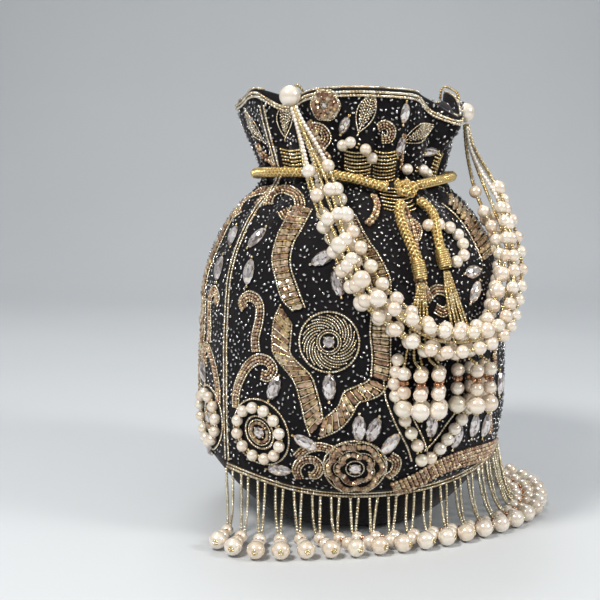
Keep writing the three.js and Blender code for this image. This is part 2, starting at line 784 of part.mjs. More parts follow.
// Loop of thread and seeds that ties an end pearl to the rim
function buildHandleLoop(name) {
  const pearlCentre = handleEnds[name];
  const azimuth = HANDLE_ROUTE[name === 'left' ? 0 : HANDLE_ROUTE.length - 1][0];
  const [rimRadius, rimHeight] = upperPoint(azimuth, RIM_HEIGHT);
  const start = pearlCentre
    .clone()
    .addScaledVector(outwards(pearlCentre), -LOOP_LEAN * (HANDLE_PEARL + LOOP_GAP))
    .add(new THREE.Vector3(0, 0, Math.sqrt(1 - LOOP_LEAN ** 2) * (HANDLE_PEARL + LOOP_GAP)));
  const crest = place(azimuth, rimRadius - VELVET / 2, rimHeight + LOOP_RISE);
  const knee = start
    .clone()
    .lerp(crest, LOOP_KNEE)
    .addScaledVector(outwards(pearlCentre), (crest.z - start.z) * LOOP_BULGE)
    .add(new THREE.Vector3(0, 0, LOOP_ARCH));
  const points = [
    start,
    knee,
    crest,
    place(azimuth, rimRadius - VELVET - 2.2, rimHeight + 2),
    place(azimuth, rimRadius - VELVET - 3.2, rimHeight - 6),
  ];
  const route = new THREE.CatmullRomCurve3(points).getPoints(LOOP_STEPS);
  const radii = route.map(() => LOOP_RADIUS);
  const sideways = () => place(azimuth + 90, 1, 0);
  addNode('handle_loop_' + name, loft(tubeRings(route, radii, 6, false, sideways), false), goldCord);
}

buildFrontPanel();
buildBackPanel();
buildLining();
buildRimTrim();
buildSideTrim('side_trim_left', -90);
buildSideTrim('side_trim_right', 90);
buildBottomTrim();
buildFringe();
buildDrawstring();
buildKnot();
buildTassel('left');
buildTassel('right');
buildHandlePearls();
for (let i = 0; i < HANDLE_STRANDS; i += 1) buildHandleStrand(i);
buildHandleLoop('left');
buildHandleLoop('right');

export default group;
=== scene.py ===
# Potli bag: velvet shell, bead embroidery, pearl handle, drawstring with tassels and beaded fringe.
# Shapes are worked out in millimetres in the part's frame and written to the meshes in metres.
# Azimuth 0 is the middle of the front panel (-Y), and the side seams are at -90 and +90 degrees.
import math

import bpy
import numpy as np
from mathutils import Matrix, Vector
from mathutils.kdtree import KDTree


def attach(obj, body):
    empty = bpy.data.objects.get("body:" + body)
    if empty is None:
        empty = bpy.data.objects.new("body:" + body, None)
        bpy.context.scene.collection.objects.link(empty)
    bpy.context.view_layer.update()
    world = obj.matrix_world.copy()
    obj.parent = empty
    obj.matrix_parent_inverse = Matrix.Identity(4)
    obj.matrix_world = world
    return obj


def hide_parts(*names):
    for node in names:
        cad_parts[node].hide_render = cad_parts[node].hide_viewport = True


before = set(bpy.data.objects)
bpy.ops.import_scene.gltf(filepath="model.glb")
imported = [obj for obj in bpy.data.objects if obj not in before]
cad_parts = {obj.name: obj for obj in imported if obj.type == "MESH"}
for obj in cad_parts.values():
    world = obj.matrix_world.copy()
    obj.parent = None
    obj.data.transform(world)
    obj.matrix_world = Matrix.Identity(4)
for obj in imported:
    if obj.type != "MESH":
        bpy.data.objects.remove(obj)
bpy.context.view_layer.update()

D2R = math.pi / 180
MM = 0.001
rng = np.random.default_rng(11)

# Camera
CAMERA_AZIMUTH = -40.0
CAMERA_DISTANCE = 650.0
CAMERA_HEIGHT = 206.5
FOCAL_PX = 1040.0
HALF_PX = 300.0
HORIZON_PX = 180.0
AXIS_PX = 352.5


def camera_axes():
    a = CAMERA_AZIMUTH * D2R
    eye = np.array([CAMERA_DISTANCE * math.sin(a), -CAMERA_DISTANCE * math.cos(a), CAMERA_HEIGHT])
    ahead = np.array([-math.sin(a), math.cos(a), 0.0])
    right = np.array([math.cos(a), math.sin(a), 0.0])
    up = np.array([0.0, 0.0, 1.0])
    drop = HALF_PX - HORIZON_PX
    pitch = math.atan(drop / FOCAL_PX)
    yaw = math.atan((AXIS_PX - HALF_PX) / math.hypot(FOCAL_PX, drop))
    f1 = ahead * math.cos(yaw) - right * math.sin(yaw)
    r1 = right * math.cos(yaw) + ahead * math.sin(yaw)
    f2 = f1 * math.cos(pitch) - up * math.sin(pitch)
    u2 = up * math.cos(pitch) + f1 * math.sin(pitch)
    return eye, f2, r1, u2


EYE, AHEAD, RIGHT, UP = camera_axes()

camera_data = bpy.data.cameras.new("camera")
camera_data.sensor_width = 36.0
camera_data.lens = 36.0 * FOCAL_PX / (2 * HALF_PX)
camera_data.clip_start = 0.01
camera_data.clip_end = 20.0
camera = bpy.data.objects.new("camera", camera_data)
bpy.context.scene.collection.objects.link(camera)
pose = Matrix.Identity(4)
for row in range(3):
    pose[row][0] = RIGHT[row]
    pose[row][1] = UP[row]
    pose[row][2] = -AHEAD[row]
    pose[row][3] = EYE[row] * MM
camera.matrix_world = pose
bpy.context.scene.camera = camera

# The bag's surface
RIM_HEIGHT = 255.0
NECK_HEIGHT = 209.0
WIDEST_HEIGHT = 82.0
WIDEST_RADIUS = 94.4
BASE_RADIUS = 42.0
PLEATS = 20
PLEAT_DEPTH = 4.6
OUTLINE = np.array([
    [82, 94.4], [108, 94.2], [132, 93], [148, 91.5], [160, 88.5], [173, 82.5], [184, 75.5],
    [193, 68], [200, 60], [209, 54.5], [217, 56.5], [230, 60.5], [245, 64.5], [255, 66],
], float)
RUFFLES = [
    [-128, 5, 2, 16], [-96, 4, -3, 12], [-74, -5, 3, 9], [-38, 3, -1, 22], [4, -6, 1, 9], [18, 7, 13, 10],
    [41, -9, -3, 9], [72, 5, 0, 14], [104, -5, 3, 10], [132, 5, -2, 14], [168, -4, 2, 12], [196, 5, -1, 12],
]


def hermite_tangents(x, y):
    step = np.diff(x)
    slope = np.diff(y) / step
    tangent = np.zeros(len(x))
    for i in range(1, len(x) - 1):
        if slope[i - 1] * slope[i] > 0:
            before = 2 * step[i] + step[i - 1]
            after = step[i] + 2 * step[i - 1]
            tangent[i] = (before + after) / (before / slope[i - 1] + after / slope[i])
    tangent[-1] = slope[-1]
    return tangent


OUTLINE_TANGENT = hermite_tangents(OUTLINE[:, 0], OUTLINE[:, 1])


def outline_radius(height):
    x, y, m = OUTLINE[:, 0], OUTLINE[:, 1], OUTLINE_TANGENT
    h = np.clip(np.asarray(height, float), x[0], x[-1])
    k = np.clip(np.searchsorted(x, h) - 1, 0, len(x) - 2)
    step = x[k + 1] - x[k]
    t = (h - x[k]) / step
    return (
        (2 * t**3 - 3 * t**2 + 1) * y[k] + (t**3 - 2 * t**2 + t) * step * m[k]
        + (3 * t**2 - 2 * t**3) * y[k + 1] + (t**3 - t**2) * step * m[k + 1]
    )


def smoothstep(value, low, high):
    t = np.clip((value - low) / (high - low), 0, 1)
    return t * t * (3 - 2 * t)


def pleat(az, height):
    above = smoothstep(height, NECK_HEIGHT, RIM_HEIGHT + 10)
    below = smoothstep(height, 160, NECK_HEIGHT)
    lobe = np.abs(np.cos(PLEATS / 2 * az * D2R)) - 0.64
    return PLEAT_DEPTH * lobe * below * (1 - above)


def ruffle(az, height):
    share = smoothstep(height, NECK_HEIGHT + 6, RIM_HEIGHT)
    push = np.zeros(np.broadcast(az, height).shape)
    drop = np.zeros_like(push)
    for centre, out, down, width in RUFFLES:
        away = np.mod(az - centre + 180, 360) - 180
        weight = np.exp(-((away / width) ** 2))
        push = push + out * weight
        drop = drop + down * weight
    return push * share, drop * share


def seam(az):
    side = np.sin(az * D2R)
    lean = np.minimum(1 - np.cos((az + 40) * D2R), 1)
    corner = np.abs(side) ** 16
    out = np.where(side < 0, 12.0, 8.0)
    rise = np.where(side < 0, 7.0, 4.0)
    return 74 + 17 * lean**0.8 + out * corner, 29 + 16 * lean + rise * corner


def surface_radius(az, z):
    """Distance of the velvet's outer face from the axis where it is at height z."""
    az, z = np.broadcast_arrays(np.asarray(az, float), np.asarray(z, float))
    h = z.copy()
    for _ in range(4):
        h = z + ruffle(az, h)[1]
    upper = outline_radius(h) + pleat(az, h) + ruffle(az, h)[0]
    end_radius, end_height = seam(az)
    share = np.clip((WIDEST_HEIGHT - z) / (WIDEST_HEIGHT - end_height), 0, 1)
    lower = end_radius + (WIDEST_RADIUS - end_radius) * (1 - share**2)
    left = (np.clip(z, 0, None) / end_height) ** (1 / 1.7)
    under = BASE_RADIUS + (end_radius - BASE_RADIUS) * np.clip(left, 0, 1)
    return np.where(z >= WIDEST_HEIGHT, upper, np.where(z >= end_height, lower, under))


def place(az, r, z):
    az, r, z = np.broadcast_arrays(np.asarray(az, float), np.asarray(r, float), np.asarray(z, float))
    return np.stack([r * np.sin(az * D2R), -r * np.cos(az * D2R), z], -1)


def surface(az, z):
    return place(az, surface_radius(az, z), z)


def unit(v):
    return v / np.maximum(np.linalg.norm(v, axis=-1, keepdims=True), 1e-9)


def surface_normal(az, z):
    step_a, step_z = 0.8, 1.2
    across = surface(az + step_a, z) - surface(az - step_a, z)
    upward = surface(az, z + step_z) - surface(az, z - step_z)
    return unit(np.cross(across, upward))


def spots(pixels):
    """Azimuth and height where the view through each pixel first meets the bag."""
    pixels = np.asarray(pixels, float).reshape(-1, 2)
    x = (pixels[:, 0] - HALF_PX) / FOCAL_PX
    y = (HALF_PX - pixels[:, 1]) / FOCAL_PX
    ray = unit(AHEAD + RIGHT * x[:, None] + UP * y[:, None])
    t = np.arange(520, 740, 0.5)
    p = EYE + ray[:, None, :] * t[None, :, None]
    az = np.degrees(np.arctan2(p[..., 0], -p[..., 1]))
    gap = np.hypot(p[..., 0], p[..., 1]) - surface_radius(az, np.clip(p[..., 2], 5, RIM_HEIGHT))
    inside = gap <= 0
    first = np.where(inside.any(1), inside.argmax(1), gap.argmin(1))
    rows = np.arange(len(first))
    return np.stack([az[rows, first], p[rows, first, 2]], -1)


# Mesh helpers
def new_object(name, verts, faces, material=None, smooth=True, tint=None):
    mesh = bpy.data.meshes.new(name)
    verts = np.asarray(verts, float) * MM
    faces = [np.asarray(f, int) for f in (faces if isinstance(faces, list) else [faces])]
    mesh.vertices.add(len(verts))
    mesh.vertices.foreach_set("co", verts.astype(np.float32).ravel())
    loops = np.concatenate([f.ravel() for f in faces])
    counts = np.concatenate([np.full(len(f), f.shape[1]) for f in faces])
    mesh.loops.add(len(loops))
    mesh.loops.foreach_set("vertex_index", loops.astype(np.int32))
    mesh.polygons.add(len(counts))
    starts = np.concatenate([[0], np.cumsum(counts)[:-1]])
    mesh.polygons.foreach_set("loop_start", starts.astype(np.int32))
    mesh.polygons.foreach_set("loop_total", counts.astype(np.int32))
    mesh.polygons.foreach_set("use_smooth", np.full(len(counts), smooth))
    mesh.update(calc_edges=True)
    mesh.validate()
    # Per-corner value that the materials' ramps read: random tone, and for faceted stones mostly painted
    # facet reflections.
    if tint is not None:
        attribute = mesh.attributes.new("tint", "FLOAT", "POINT")
        attribute.data.foreach_set("value", np.asarray(tint, np.float32))
    obj = bpy.data.objects.new(name, mesh)
    bpy.context.scene.collection.objects.link(obj)
    if material is not None:
        mesh.materials.append(material)
    return obj


def turned(profile, sides):
    """Closed bead turned about X from (x, radius) points; the end points may have a radius of zero."""
    rings = []
    verts = []
    for x, r in profile:
        if r <= 0:
            rings.append([len(verts)])
            verts.append([x, 0, 0])
        else:
            rings.append(list(range(len(verts), len(verts) + sides)))
            for k in range(sides):
                a = 2 * math.pi * k / sides
                verts.append([x, r * math.cos(a), r * math.sin(a)])
    tris = []
    for a, b in zip(rings, rings[1:]):
        for k in range(sides):
            m = (k + 1) % sides
            if len(a) == 1 and len(b) > 1:
                tris.append([a[0], b[m], b[k]])
            elif len(b) == 1 and len(a) > 1:
                tris.append([a[k], a[m], b[0]])
            else:
                tris.append([a[k], a[m], b[m]])
                tris.append([a[k], b[m], b[k]])
    for ring, flip in ((rings[0], False), (rings[-1], True)):
        if len(ring) > 1:
            for k in range(1, sides - 1):
                tri = [ring[0], ring[k + 1], ring[k]]
                tris.append(tri[::-1] if flip else tri)
    return np.array(verts, float), np.array(tris, int)


def ball(sides, rows):
    angles = np.linspace(0, math.pi, rows + 1)
    profile = [(-math.cos(a), math.sin(a) if 0 < i < rows else 0) for i, a in enumerate(angles)]
    return turned(profile, sides)


NAVETTE_SIDES = 10


def navette():
    """Oval cut stone whose facets turn by half a step: 2 long on X, 2 wide on Y and 1 high on Z."""
    sides = NAVETTE_SIDES
    rings = [(0.9, -0.25, 0.0), (1.0, 0.0, 0.0), (0.82, 0.5, 0.5), (0.58, 0.82, 0.0), (0.34, 1.0, 0.5)]
    verts, tris = [], []
    for scale, height, turn in rings:
        for k in range(sides):
            a = 2 * math.pi * (k + turn) / sides
            verts.append([scale * math.cos(a), scale * math.sin(a) * abs(math.sin(a)) ** 0.15, height])
    for ring in range(len(rings) - 1):
        low, high = ring * sides, (ring + 1) * sides
        late = rings[ring][2] > rings[ring + 1][2]
        for k in range(sides):
            m = (k + 1) % sides
            if late:
                tris += [[low + k, low + m, high + m], [low + k, high + m, high + k]]
            else:
                tris += [[low + k, low + m, high + k], [low + m, high + m, high + k]]
    top = (len(rings) - 1) * sides
    for k in range(1, sides - 1):
        tris += [[top, top + k, top + k + 1], [0, k + 1, k]]
    return np.array(verts, float), np.array(tris, int)


SEED = turned([(-0.5, 0.62), (-0.22, 1.0), (0.22, 1.0), (0.5, 0.62)], 5)
BUGLE = turned([(-0.5, 0.8), (-0.42, 1.0), (0.42, 1.0), (0.5, 0.8)], 6)


def lumpy(seed):
    """Uneven cut glass bead: a turned shape whose corners are pushed about."""
    profile = [(-0.5, 0.55), (-0.36, 0.98), (-0.12, 0.84), (0.1, 1.06), (0.34, 0.86), (0.5, 0.5)]
    verts, tris = turned(profile, 7)
    push = np.random.default_rng(seed).random(verts.shape) - 0.5
    return verts * (1 + push * np.array([0.05, 0.3, 0.3])), tris


LUMPY = [lumpy(seed) for seed in (3, 5, 8)]
PEARL = ball(16, 10)
SMALL_BALL = ball(12, 8)
TINY_BALL = ball(8, 5)


def faceted(shape, seed, flat):
    """The shape with corners of its own for every facet, and a painted light or dark reflection for each
    facet; the last flat facets, the table and the back, share one light painted highlight.
    """
    verts, tris = shape
    # Random light and dark values per facet: painted reflections, as a cut stone's facets flash light or
    # dark.
    shade = np.random.default_rng(seed).random(len(tris))
    # One light value for the table and back facets: a painted highlight.
    shade[len(tris) - flat:] = 0.72
    return verts[tris].reshape(-1, 3), np.arange(3 * len(tris)).reshape(-1, 3), np.repeat(shade, 3)


STONES = [faceted(navette(), seed, 16) for seed in (2, 7, 13)]
CHATON = turned([(-0.3, 0.85), (0.0, 1.0), (0.3, 0.86), (0.55, 0.5)], 8)


def chaton_up():
    verts, tris = CHATON
    turned_up = np.stack([-verts[:, 2], verts[:, 1], verts[:, 0]], -1)
    return turned_up, tris


ROUND_STONE = faceted(chaton_up(), 5, 0)


class Beads:
    """Collects many copies of small meshes and joins them into one piece."""

    def __init__(self):
        self.verts, self.tris, self.tint, self.count = [], [], [], 0
        self.spots = []

    def add(self, shape, at, along, out, size, tint=None, keep=None):
        """Copies of shape at points, X along one way and Z towards the other, with one size or one each."""
        at = np.atleast_2d(at)
        n = len(at)
        if n == 0:
            return
        along = unit(np.broadcast_to(along, at.shape))
        out = np.broadcast_to(out, at.shape)
        side = unit(np.cross(out, along))
        out = np.cross(along, side)
        size = np.broadcast_to(np.asarray(size, float), (n, 3))
        base, tris = shape[:2]
        local = base[None] * size[:, None]
        verts = at[:, None] + local[..., :1] * along[:, None] + local[..., 1:2] * side[:, None]
        verts = verts + local[..., 2:] * out[:, None]
        self.verts.append(verts.reshape(-1, 3))
        steps = (np.arange(n) * len(base))[:, None, None] + self.count
        self.tris.append((tris[None] + steps).reshape(-1, 3))
        self.count += n * len(base)
        tint = rng.random(n) if tint is None else np.broadcast_to(tint, (n,))
        # For faceted stones each corner's value is 30% random tone and 70% painted light or dark facet
        # reflection.
        if len(shape) > 2:
            self.tint.append((0.3 * tint[:, None] + 0.7 * shape[2]).ravel())
        else:
            self.tint.append(np.repeat(tint, len(base)))
        if keep is not None:
            room = np.broadcast_to(np.asarray(keep, float), (n,))
            self.spots.append(np.concatenate([at, room[:, None]], 1))

    def build(self, name, material, smooth=True):
        return new_object(name, np.concatenate(self.verts), np.concatenate(self.tris), material, smooth,
                          np.concatenate(self.tint))


def spline(points, closed=False, per=12):
    """Dense Catmull-Rom line through points of any dimension."""
    p = np.asarray(points, float)
    n = len(p)
    if n < 3 and not closed:
        t = np.linspace(0, 1, per * 2)[:, None]
        return p[0] + (p[-1] - p[0]) * t
    if closed:
        q = np.concatenate([p[-1:], p, p[:2]])
        spans = n
    else:
        q = np.concatenate([2 * p[:1] - p[1:2], p, 2 * p[-1:] - p[-2:-1]])
        spans = n - 1
    t = (np.arange(per) / per)[:, None]
    out = []
    for i in range(spans):
        a, b, c, d = q[i], q[i + 1], q[i + 2], q[i + 3]
        square = (2 * a - 5 * b + 4 * c - d) * t**2
        cube = (3 * b - a - 3 * c + d) * t**3
        out.append(0.5 * (2 * b + (c - a) * t + square + cube))
    if not closed:
        out.append(p[-1:])
    return np.concatenate(out)


def distances(line):
    """Distance of each point of a line from its start."""
    return np.concatenate([[0], np.cumsum(np.linalg.norm(np.diff(line, axis=0), axis=1))])


def length_of(line):
    return float(np.linalg.norm(np.diff(line, axis=0), axis=1).sum())


def points_at(array, dist, where):
    """Rows of an array that belongs to a line, at distances along it."""
    return np.stack([np.interp(where, dist, array[:, k]) for k in range(array.shape[1])], -1)


def resample(line, pitch, closed=False, other=None):
    """Points a pitch apart along a line, with tangents, and another array carried along."""
    line = np.asarray(line, float)
    if closed:
        line = np.concatenate([line, line[:1]])
        other = None if other is None else np.concatenate([other, other[:1]])
    dist = distances(line)
    total = dist[-1]
    n = max(int(round(total / pitch)), 1)
    at = (np.arange(n) + 0.5) * total / n
    reach = pitch * 0.3
    after = points_at(line, dist, np.clip(at + reach, 0, total))
    before = points_at(line, dist, np.clip(at - reach, 0, total))
    carried = None if other is None else points_at(other, dist, at)
    return points_at(line, dist, at), unit(after - before), carried


def tube(path, radius, sides):
    """Round tube along a dense path; its rings' centres are the path."""
    path = np.asarray(path, float)
    n = len(path)
    tangent = unit(np.gradient(path, axis=0))
    normal = np.zeros_like(path)
    ref = np.array([0.3, 0.2, 0.93])
    if abs(tangent[0] @ unit(ref)) > 0.9:
        ref = np.array([1.0, 0.1, 0.1])
    current = unit(ref - tangent[0] * (ref @ tangent[0]))
    for i in range(n):
        current = unit(current - tangent[i] * (current @ tangent[i]))
        normal[i] = current
    side = np.cross(tangent, normal)
    radius = np.broadcast_to(np.asarray(radius, float), (n,))
    angle = 2 * math.pi * np.arange(sides) / sides
    rings = (
        path[:, None] + radius[:, None, None] * (np.cos(angle)[None, :, None] * normal[:, None]
                                                 + np.sin(angle)[None, :, None] * side[:, None])
    )
    verts = rings.reshape(-1, 3)
    quads = []
    k = np.arange(sides)
    m = (k + 1) % sides
    for i in range(n - 1):
        j = i + 1
        quads.append(np.stack([i * sides + k, i * sides + m, j * sides + m, j * sides + k], -1))
    fans = []
    last = (n - 1) * sides
    for q in range(1, sides - 1):
        fans.append([0, q + 1, q])
        fans.append([last, last + q, last + q + 1])
    return verts, [np.concatenate(quads), np.array(fans)]


def bag_piece(obj, body="bag", nodes=()):
    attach(obj, body)
    if nodes:
        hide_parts(*nodes)
    return obj


# Materials
def new_material(name):
    material = bpy.data.materials.new(name)
    material.use_nodes = True
    return material, material.node_tree, material.node_tree.nodes["Principled BSDF"]


def node(tree, kind, **inputs):
    item = tree.nodes.new(kind)
    for key, value in inputs.items():
        item.inputs[key].default_value = value
    return item


def set_sockets(bsdf, **values):
    """Plain numbers and colours, set on the shader's own sockets; a low line stands for a space."""
    for key, value in values.items():
        bsdf.inputs[key.replace("_", " ")].default_value = value


def ramp(tree, fac, stops):
    item = tree.nodes.new("ShaderNodeValToRGB")
    elements = item.color_ramp.elements
    while len(elements) < len(stops):
        elements.new(0.5)
    for element, (position, color) in zip(elements, stops):
        element.position = position
        element.color = (*color, 1)
    tree.links.new(fac, item.inputs["Fac"])
    return item.outputs["Color"]


def noise(tree, scale, detail=3.0, roughness=0.5):
    coords = tree.nodes.new("ShaderNodeTexCoord")
    item = node(tree, "ShaderNodeTexNoise", Scale=scale, Detail=detail, Roughness=roughness)
    tree.links.new(coords.outputs["Object"], item.inputs["Vector"])
    return item.outputs["Fac"]


def bump(tree, bsdf, height, distance, strength=1.0):
    item = node(tree, "ShaderNodeBump", Distance=distance, Strength=strength)
    tree.links.new(height, item.inputs["Height"])
    tree.links.new(item.outputs["Normal"], bsdf.inputs["Normal"])
    return item


def mixed(tree, fac, a, b, kind="MIX"):
    item = tree.nodes.new("ShaderNodeMix")
    item.data_type = "RGBA"
    item.blend_type = kind
    if isinstance(fac, float):
        item.inputs[0].default_value = fac
    else:
        tree.links.new(fac, item.inputs[0])
    for socket, value in ((item.inputs[6], a), (item.inputs[7], b)):
        if isinstance(value, tuple):
            socket.default_value = (*value, 1)
        else:
            tree.links.new(value, socket)
    return item.outputs[2]


def tint_value(tree):
    item = tree.nodes.new("ShaderNodeAttribute")
    item.attribute_name = "tint"
    return item.outputs["Fac"]


def bead_material(name, stops, roughness, metallic, coat=0.0, speckle=900.0, bump_mm=0.04, dark=0.72):
    material, tree, bsdf = new_material(name)
    base = ramp(tree, tint_value(tree), stops)
    grain = noise(tree, speckle, 2.0)
    shade = ramp(tree, grain, [(0.36, (dark, dark, dark)), (0.62, (1, 1, 1))])
    tree.links.new(mixed(tree, 1.0, base, shade, "MULTIPLY"), bsdf.inputs["Base Color"])
    set_sockets(bsdf, Roughness=roughness, Metallic=metallic, Coat_Weight=coat, Coat_Roughness=0.06)
    bump(tree, bsdf, grain, bump_mm * MM)
    return material


def velvet_material(name, dark, light, sheen):
    material, tree, bsdf = new_material(name)
    cloud = noise(tree, 55.0, 4.0)
    pile = noise(tree, 2600.0, 2.0, 0.7)
    nap = noise(tree, 420.0, 3.0)
    base = ramp(tree, cloud, [(0.3, dark), (0.75, light)])
    fine = ramp(tree, pile, [(0.25, (0.55, 0.55, 0.55)), (0.8, (1.25, 1.22, 1.25))])
    tree.links.new(mixed(tree, 1.0, base, fine, "MULTIPLY"), bsdf.inputs["Base Color"])
    matt = ramp(tree, nap, [(0.2, (0.78, 0.78, 0.78)), (0.8, (0.98, 0.98, 0.98))])
    tree.links.new(matt, bsdf.inputs["Roughness"])
    set_sockets(bsdf, Sheen_Weight=sheen, Sheen_Roughness=0.35, Sheen_Tint=(0.55, 0.53, 0.55, 1),
                Specular_IOR_Level=0.15)
    first = bump(tree, bsdf, pile, 0.25 * MM, 0.8)
    second = node(tree, "ShaderNodeBump", Distance=0.5 * MM, Strength=0.6)
    tree.links.new(nap, second.inputs["Height"])
    tree.links.new(second.outputs["Normal"], first.inputs["Normal"])
    return material


VELVET = velvet_material("velvet", (0.006, 0.0055, 0.0065), (0.013, 0.012, 0.0135), 0.35)


def satin_material():
    material, tree, bsdf = new_material("satin")
    coords = tree.nodes.new("ShaderNodeTexCoord")
    weave = node(tree, "ShaderNodeTexWave", Scale=900.0, Distortion=1.5, Detail=2.0)
    tree.links.new(coords.outputs["Object"], weave.inputs["Vector"])
    base = ramp(tree, noise(tree, 30.0), [(0.3, (0.012, 0.010, 0.012)), (0.8, (0.026, 0.022, 0.025))])
    tree.links.new(base, bsdf.inputs["Base Color"])
    set_sockets(bsdf, Roughness=0.38)
    bump(tree, bsdf, weave.outputs["Fac"], 0.08 * MM, 0.6)
    return material


SATIN = satin_material()
CHAMPAGNE = bead_material("champagne_beads", [
    (0.0, (0.50, 0.39, 0.25)), (0.4, (0.78, 0.67, 0.48)), (0.8, (0.92, 0.85, 0.68)),
    (1.0, (0.98, 0.95, 0.88)),
], 0.2, 0.85)
SILVER = bead_material("silver_chips", [
    (0.0, (0.16, 0.16, 0.17)), (0.5, (0.52, 0.52, 0.53)), (1.0, (0.97, 0.97, 0.97)),
], 0.15, 0.8)
TAN_STOPS = [
    (0.0, (0.30, 0.15, 0.08)), (0.3, (0.54, 0.34, 0.21)), (0.55, (0.70, 0.50, 0.37)),
    (0.8, (0.82, 0.60, 0.32)), (1.0, (0.94, 0.82, 0.64)),
]
TAN = bead_material("tan_cut_beads", TAN_STOPS, 0.1, 0.55, 0.8, 420.0, 0.12, 0.38)
BRONZE = bead_material("round_bronze_beads", TAN_STOPS, 0.14, 0.6, 0.8, 700.0, 0.05, 0.6)
# Ramp from near black to near white that turns the stones' painted facet reflections into colour, with amber
# at the top end.
CRYSTAL = bead_material("foiled_crystal", [
    (0.0, (0.10, 0.08, 0.08)), (0.25, (0.34, 0.27, 0.24)), (0.5, (0.66, 0.60, 0.58)),
    (0.8, (0.93, 0.91, 0.90)), (1.0, (0.84, 0.60, 0.42)),
], 0.05, 0.75, 0.8, 900.0, 0.0, 0.85)
GOLD_SEED = bead_material("gold_seeds", [
    (0.0, (0.58, 0.42, 0.17)), (0.6, (0.86, 0.71, 0.40)), (1.0, (0.98, 0.90, 0.66)),
], 0.18, 0.88)
FRINGE_SEED = bead_material("fringe_seeds", [
    (0.0, (0.62, 0.51, 0.32)), (0.5, (0.88, 0.79, 0.57)), (1.0, (0.99, 0.96, 0.84)),
], 0.16, 0.8)
COPPER = bead_material("copper_seeds", [(0.0, (0.48, 0.22, 0.11)), (1.0, (0.80, 0.50, 0.32))], 0.18, 0.85)
GOLD_THREAD = bead_material("gold_thread", [
    (0.0, (0.50, 0.36, 0.13)), (1.0, (0.62, 0.47, 0.20)),
], 0.4, 0.7, 0.0, 2200.0, 0.1)


def pearl_material(name, stops, roughness):
    material, tree, bsdf = new_material(name)
    base = ramp(tree, tint_value(tree), stops)
    cloud = noise(tree, 240.0, 3.0)
    blush = ramp(tree, cloud, [
        (0.3, (0.97, 0.93, 0.93)), (0.55, (1.0, 1.0, 1.0)), (0.75, (0.98, 0.99, 0.96)),
    ])
    tree.links.new(mixed(tree, 1.0, base, blush, "MULTIPLY"), bsdf.inputs["Base Color"])
    set_sockets(bsdf, Roughness=roughness, Metallic=0.32, IOR=1.7, Coat_IOR=1.8, Coat_Weight=1.0,
                Coat_Roughness=0.04)
    bump(tree, bsdf, noise(tree, 900.0, 2.0), 0.015 * MM)
    return material


PEARL_LOOK = pearl_material("faux_pearl", [
    (0.0, (0.82, 0.68, 0.53)), (0.4, (0.88, 0.77, 0.63)), (0.75, (0.91, 0.83, 0.72)),
    (1.0, (0.87, 0.79, 0.63)),
], 0.2)
MILK_SEED = pearl_material("milky_seeds", [(0.0, (0.86, 0.77, 0.66)), (1.0, (0.94, 0.89, 0.82))], 0.28)


def gold_cord_material():
    material, tree, bsdf = new_material("gold_braid")
    coords = tree.nodes.new("ShaderNodeTexCoord")
    wave = node(tree, "ShaderNodeTexWave", Scale=420.0, Distortion=2.0, Detail=2.0)
    tree.links.new(coords.outputs["Object"], wave.inputs["Vector"])
    base = ramp(tree, wave.outputs["Fac"], [
        (0.1, (0.66, 0.46, 0.16)), (0.5, (0.82, 0.62, 0.27)), (0.9, (0.94, 0.78, 0.42)),
    ])
    tree.links.new(base, bsdf.inputs["Base Color"])
    set_sockets(bsdf, Metallic=0.85, Roughness=0.26)
    bump(tree, bsdf, wave.outputs["Fac"], 0.04 * MM)
    return material


GOLD_CORD = gold_cord_material()

# Cords: drawstring, tails, tassels
CORD_RADIUS = 2.8
DRAWSTRING_ROUTE = [
    [-5, 203.6], [10, 206], [28, 208], [50, 209], [76, 209.3], [90, 209.5], [104, 209.6], [130, 210],
    [170, 210], [210, 210], [240, 210.5], [256, 211], [270, 211], [284, 211], [305, 210], [320, 207.5],
    [332, 204], [337.5, 202.6],
]
TAIL_ROUTES = {
    "left": [[-18.5, 194.5, 5.6], [-20.3, 190, 5], [-20.6, 184.6, 4.6], [-19.6, 176, 4.6],
             [-18.4, 168.8, 5.2], [-17.6, 164.5, 5.4]],
    "right": [[-7.6, 195.5, 5.6], [-5.2, 191, 5.2], [-4.6, 186, 4.8], [-6, 179, 4.8], [-7, 173.5, 5.2],
              [-7.2, 169.6, 5.4]],
}
TASSEL_ROUTES = {
    "left": [[-16.8, 152, 4.4], [-17, 142, 2.6], [-17.2, 128, 2], [-17.4, 114, 2], [-17.5, 106.5, 5.4]],
    "right": [[-6.6, 157, 4.4], [-5, 147, 2.6], [-2, 131, 2], [0.6, 118, 1.8], [1.8, 106.5, 5.4]],
}
WRAP_LENGTH = 11.0
BINDING_TURNS = 9
BRAID_STRANDS = 3
BRAID_SIDES = 5
BRAID_TURN = 7.5
BRAID_STEP = 0.5


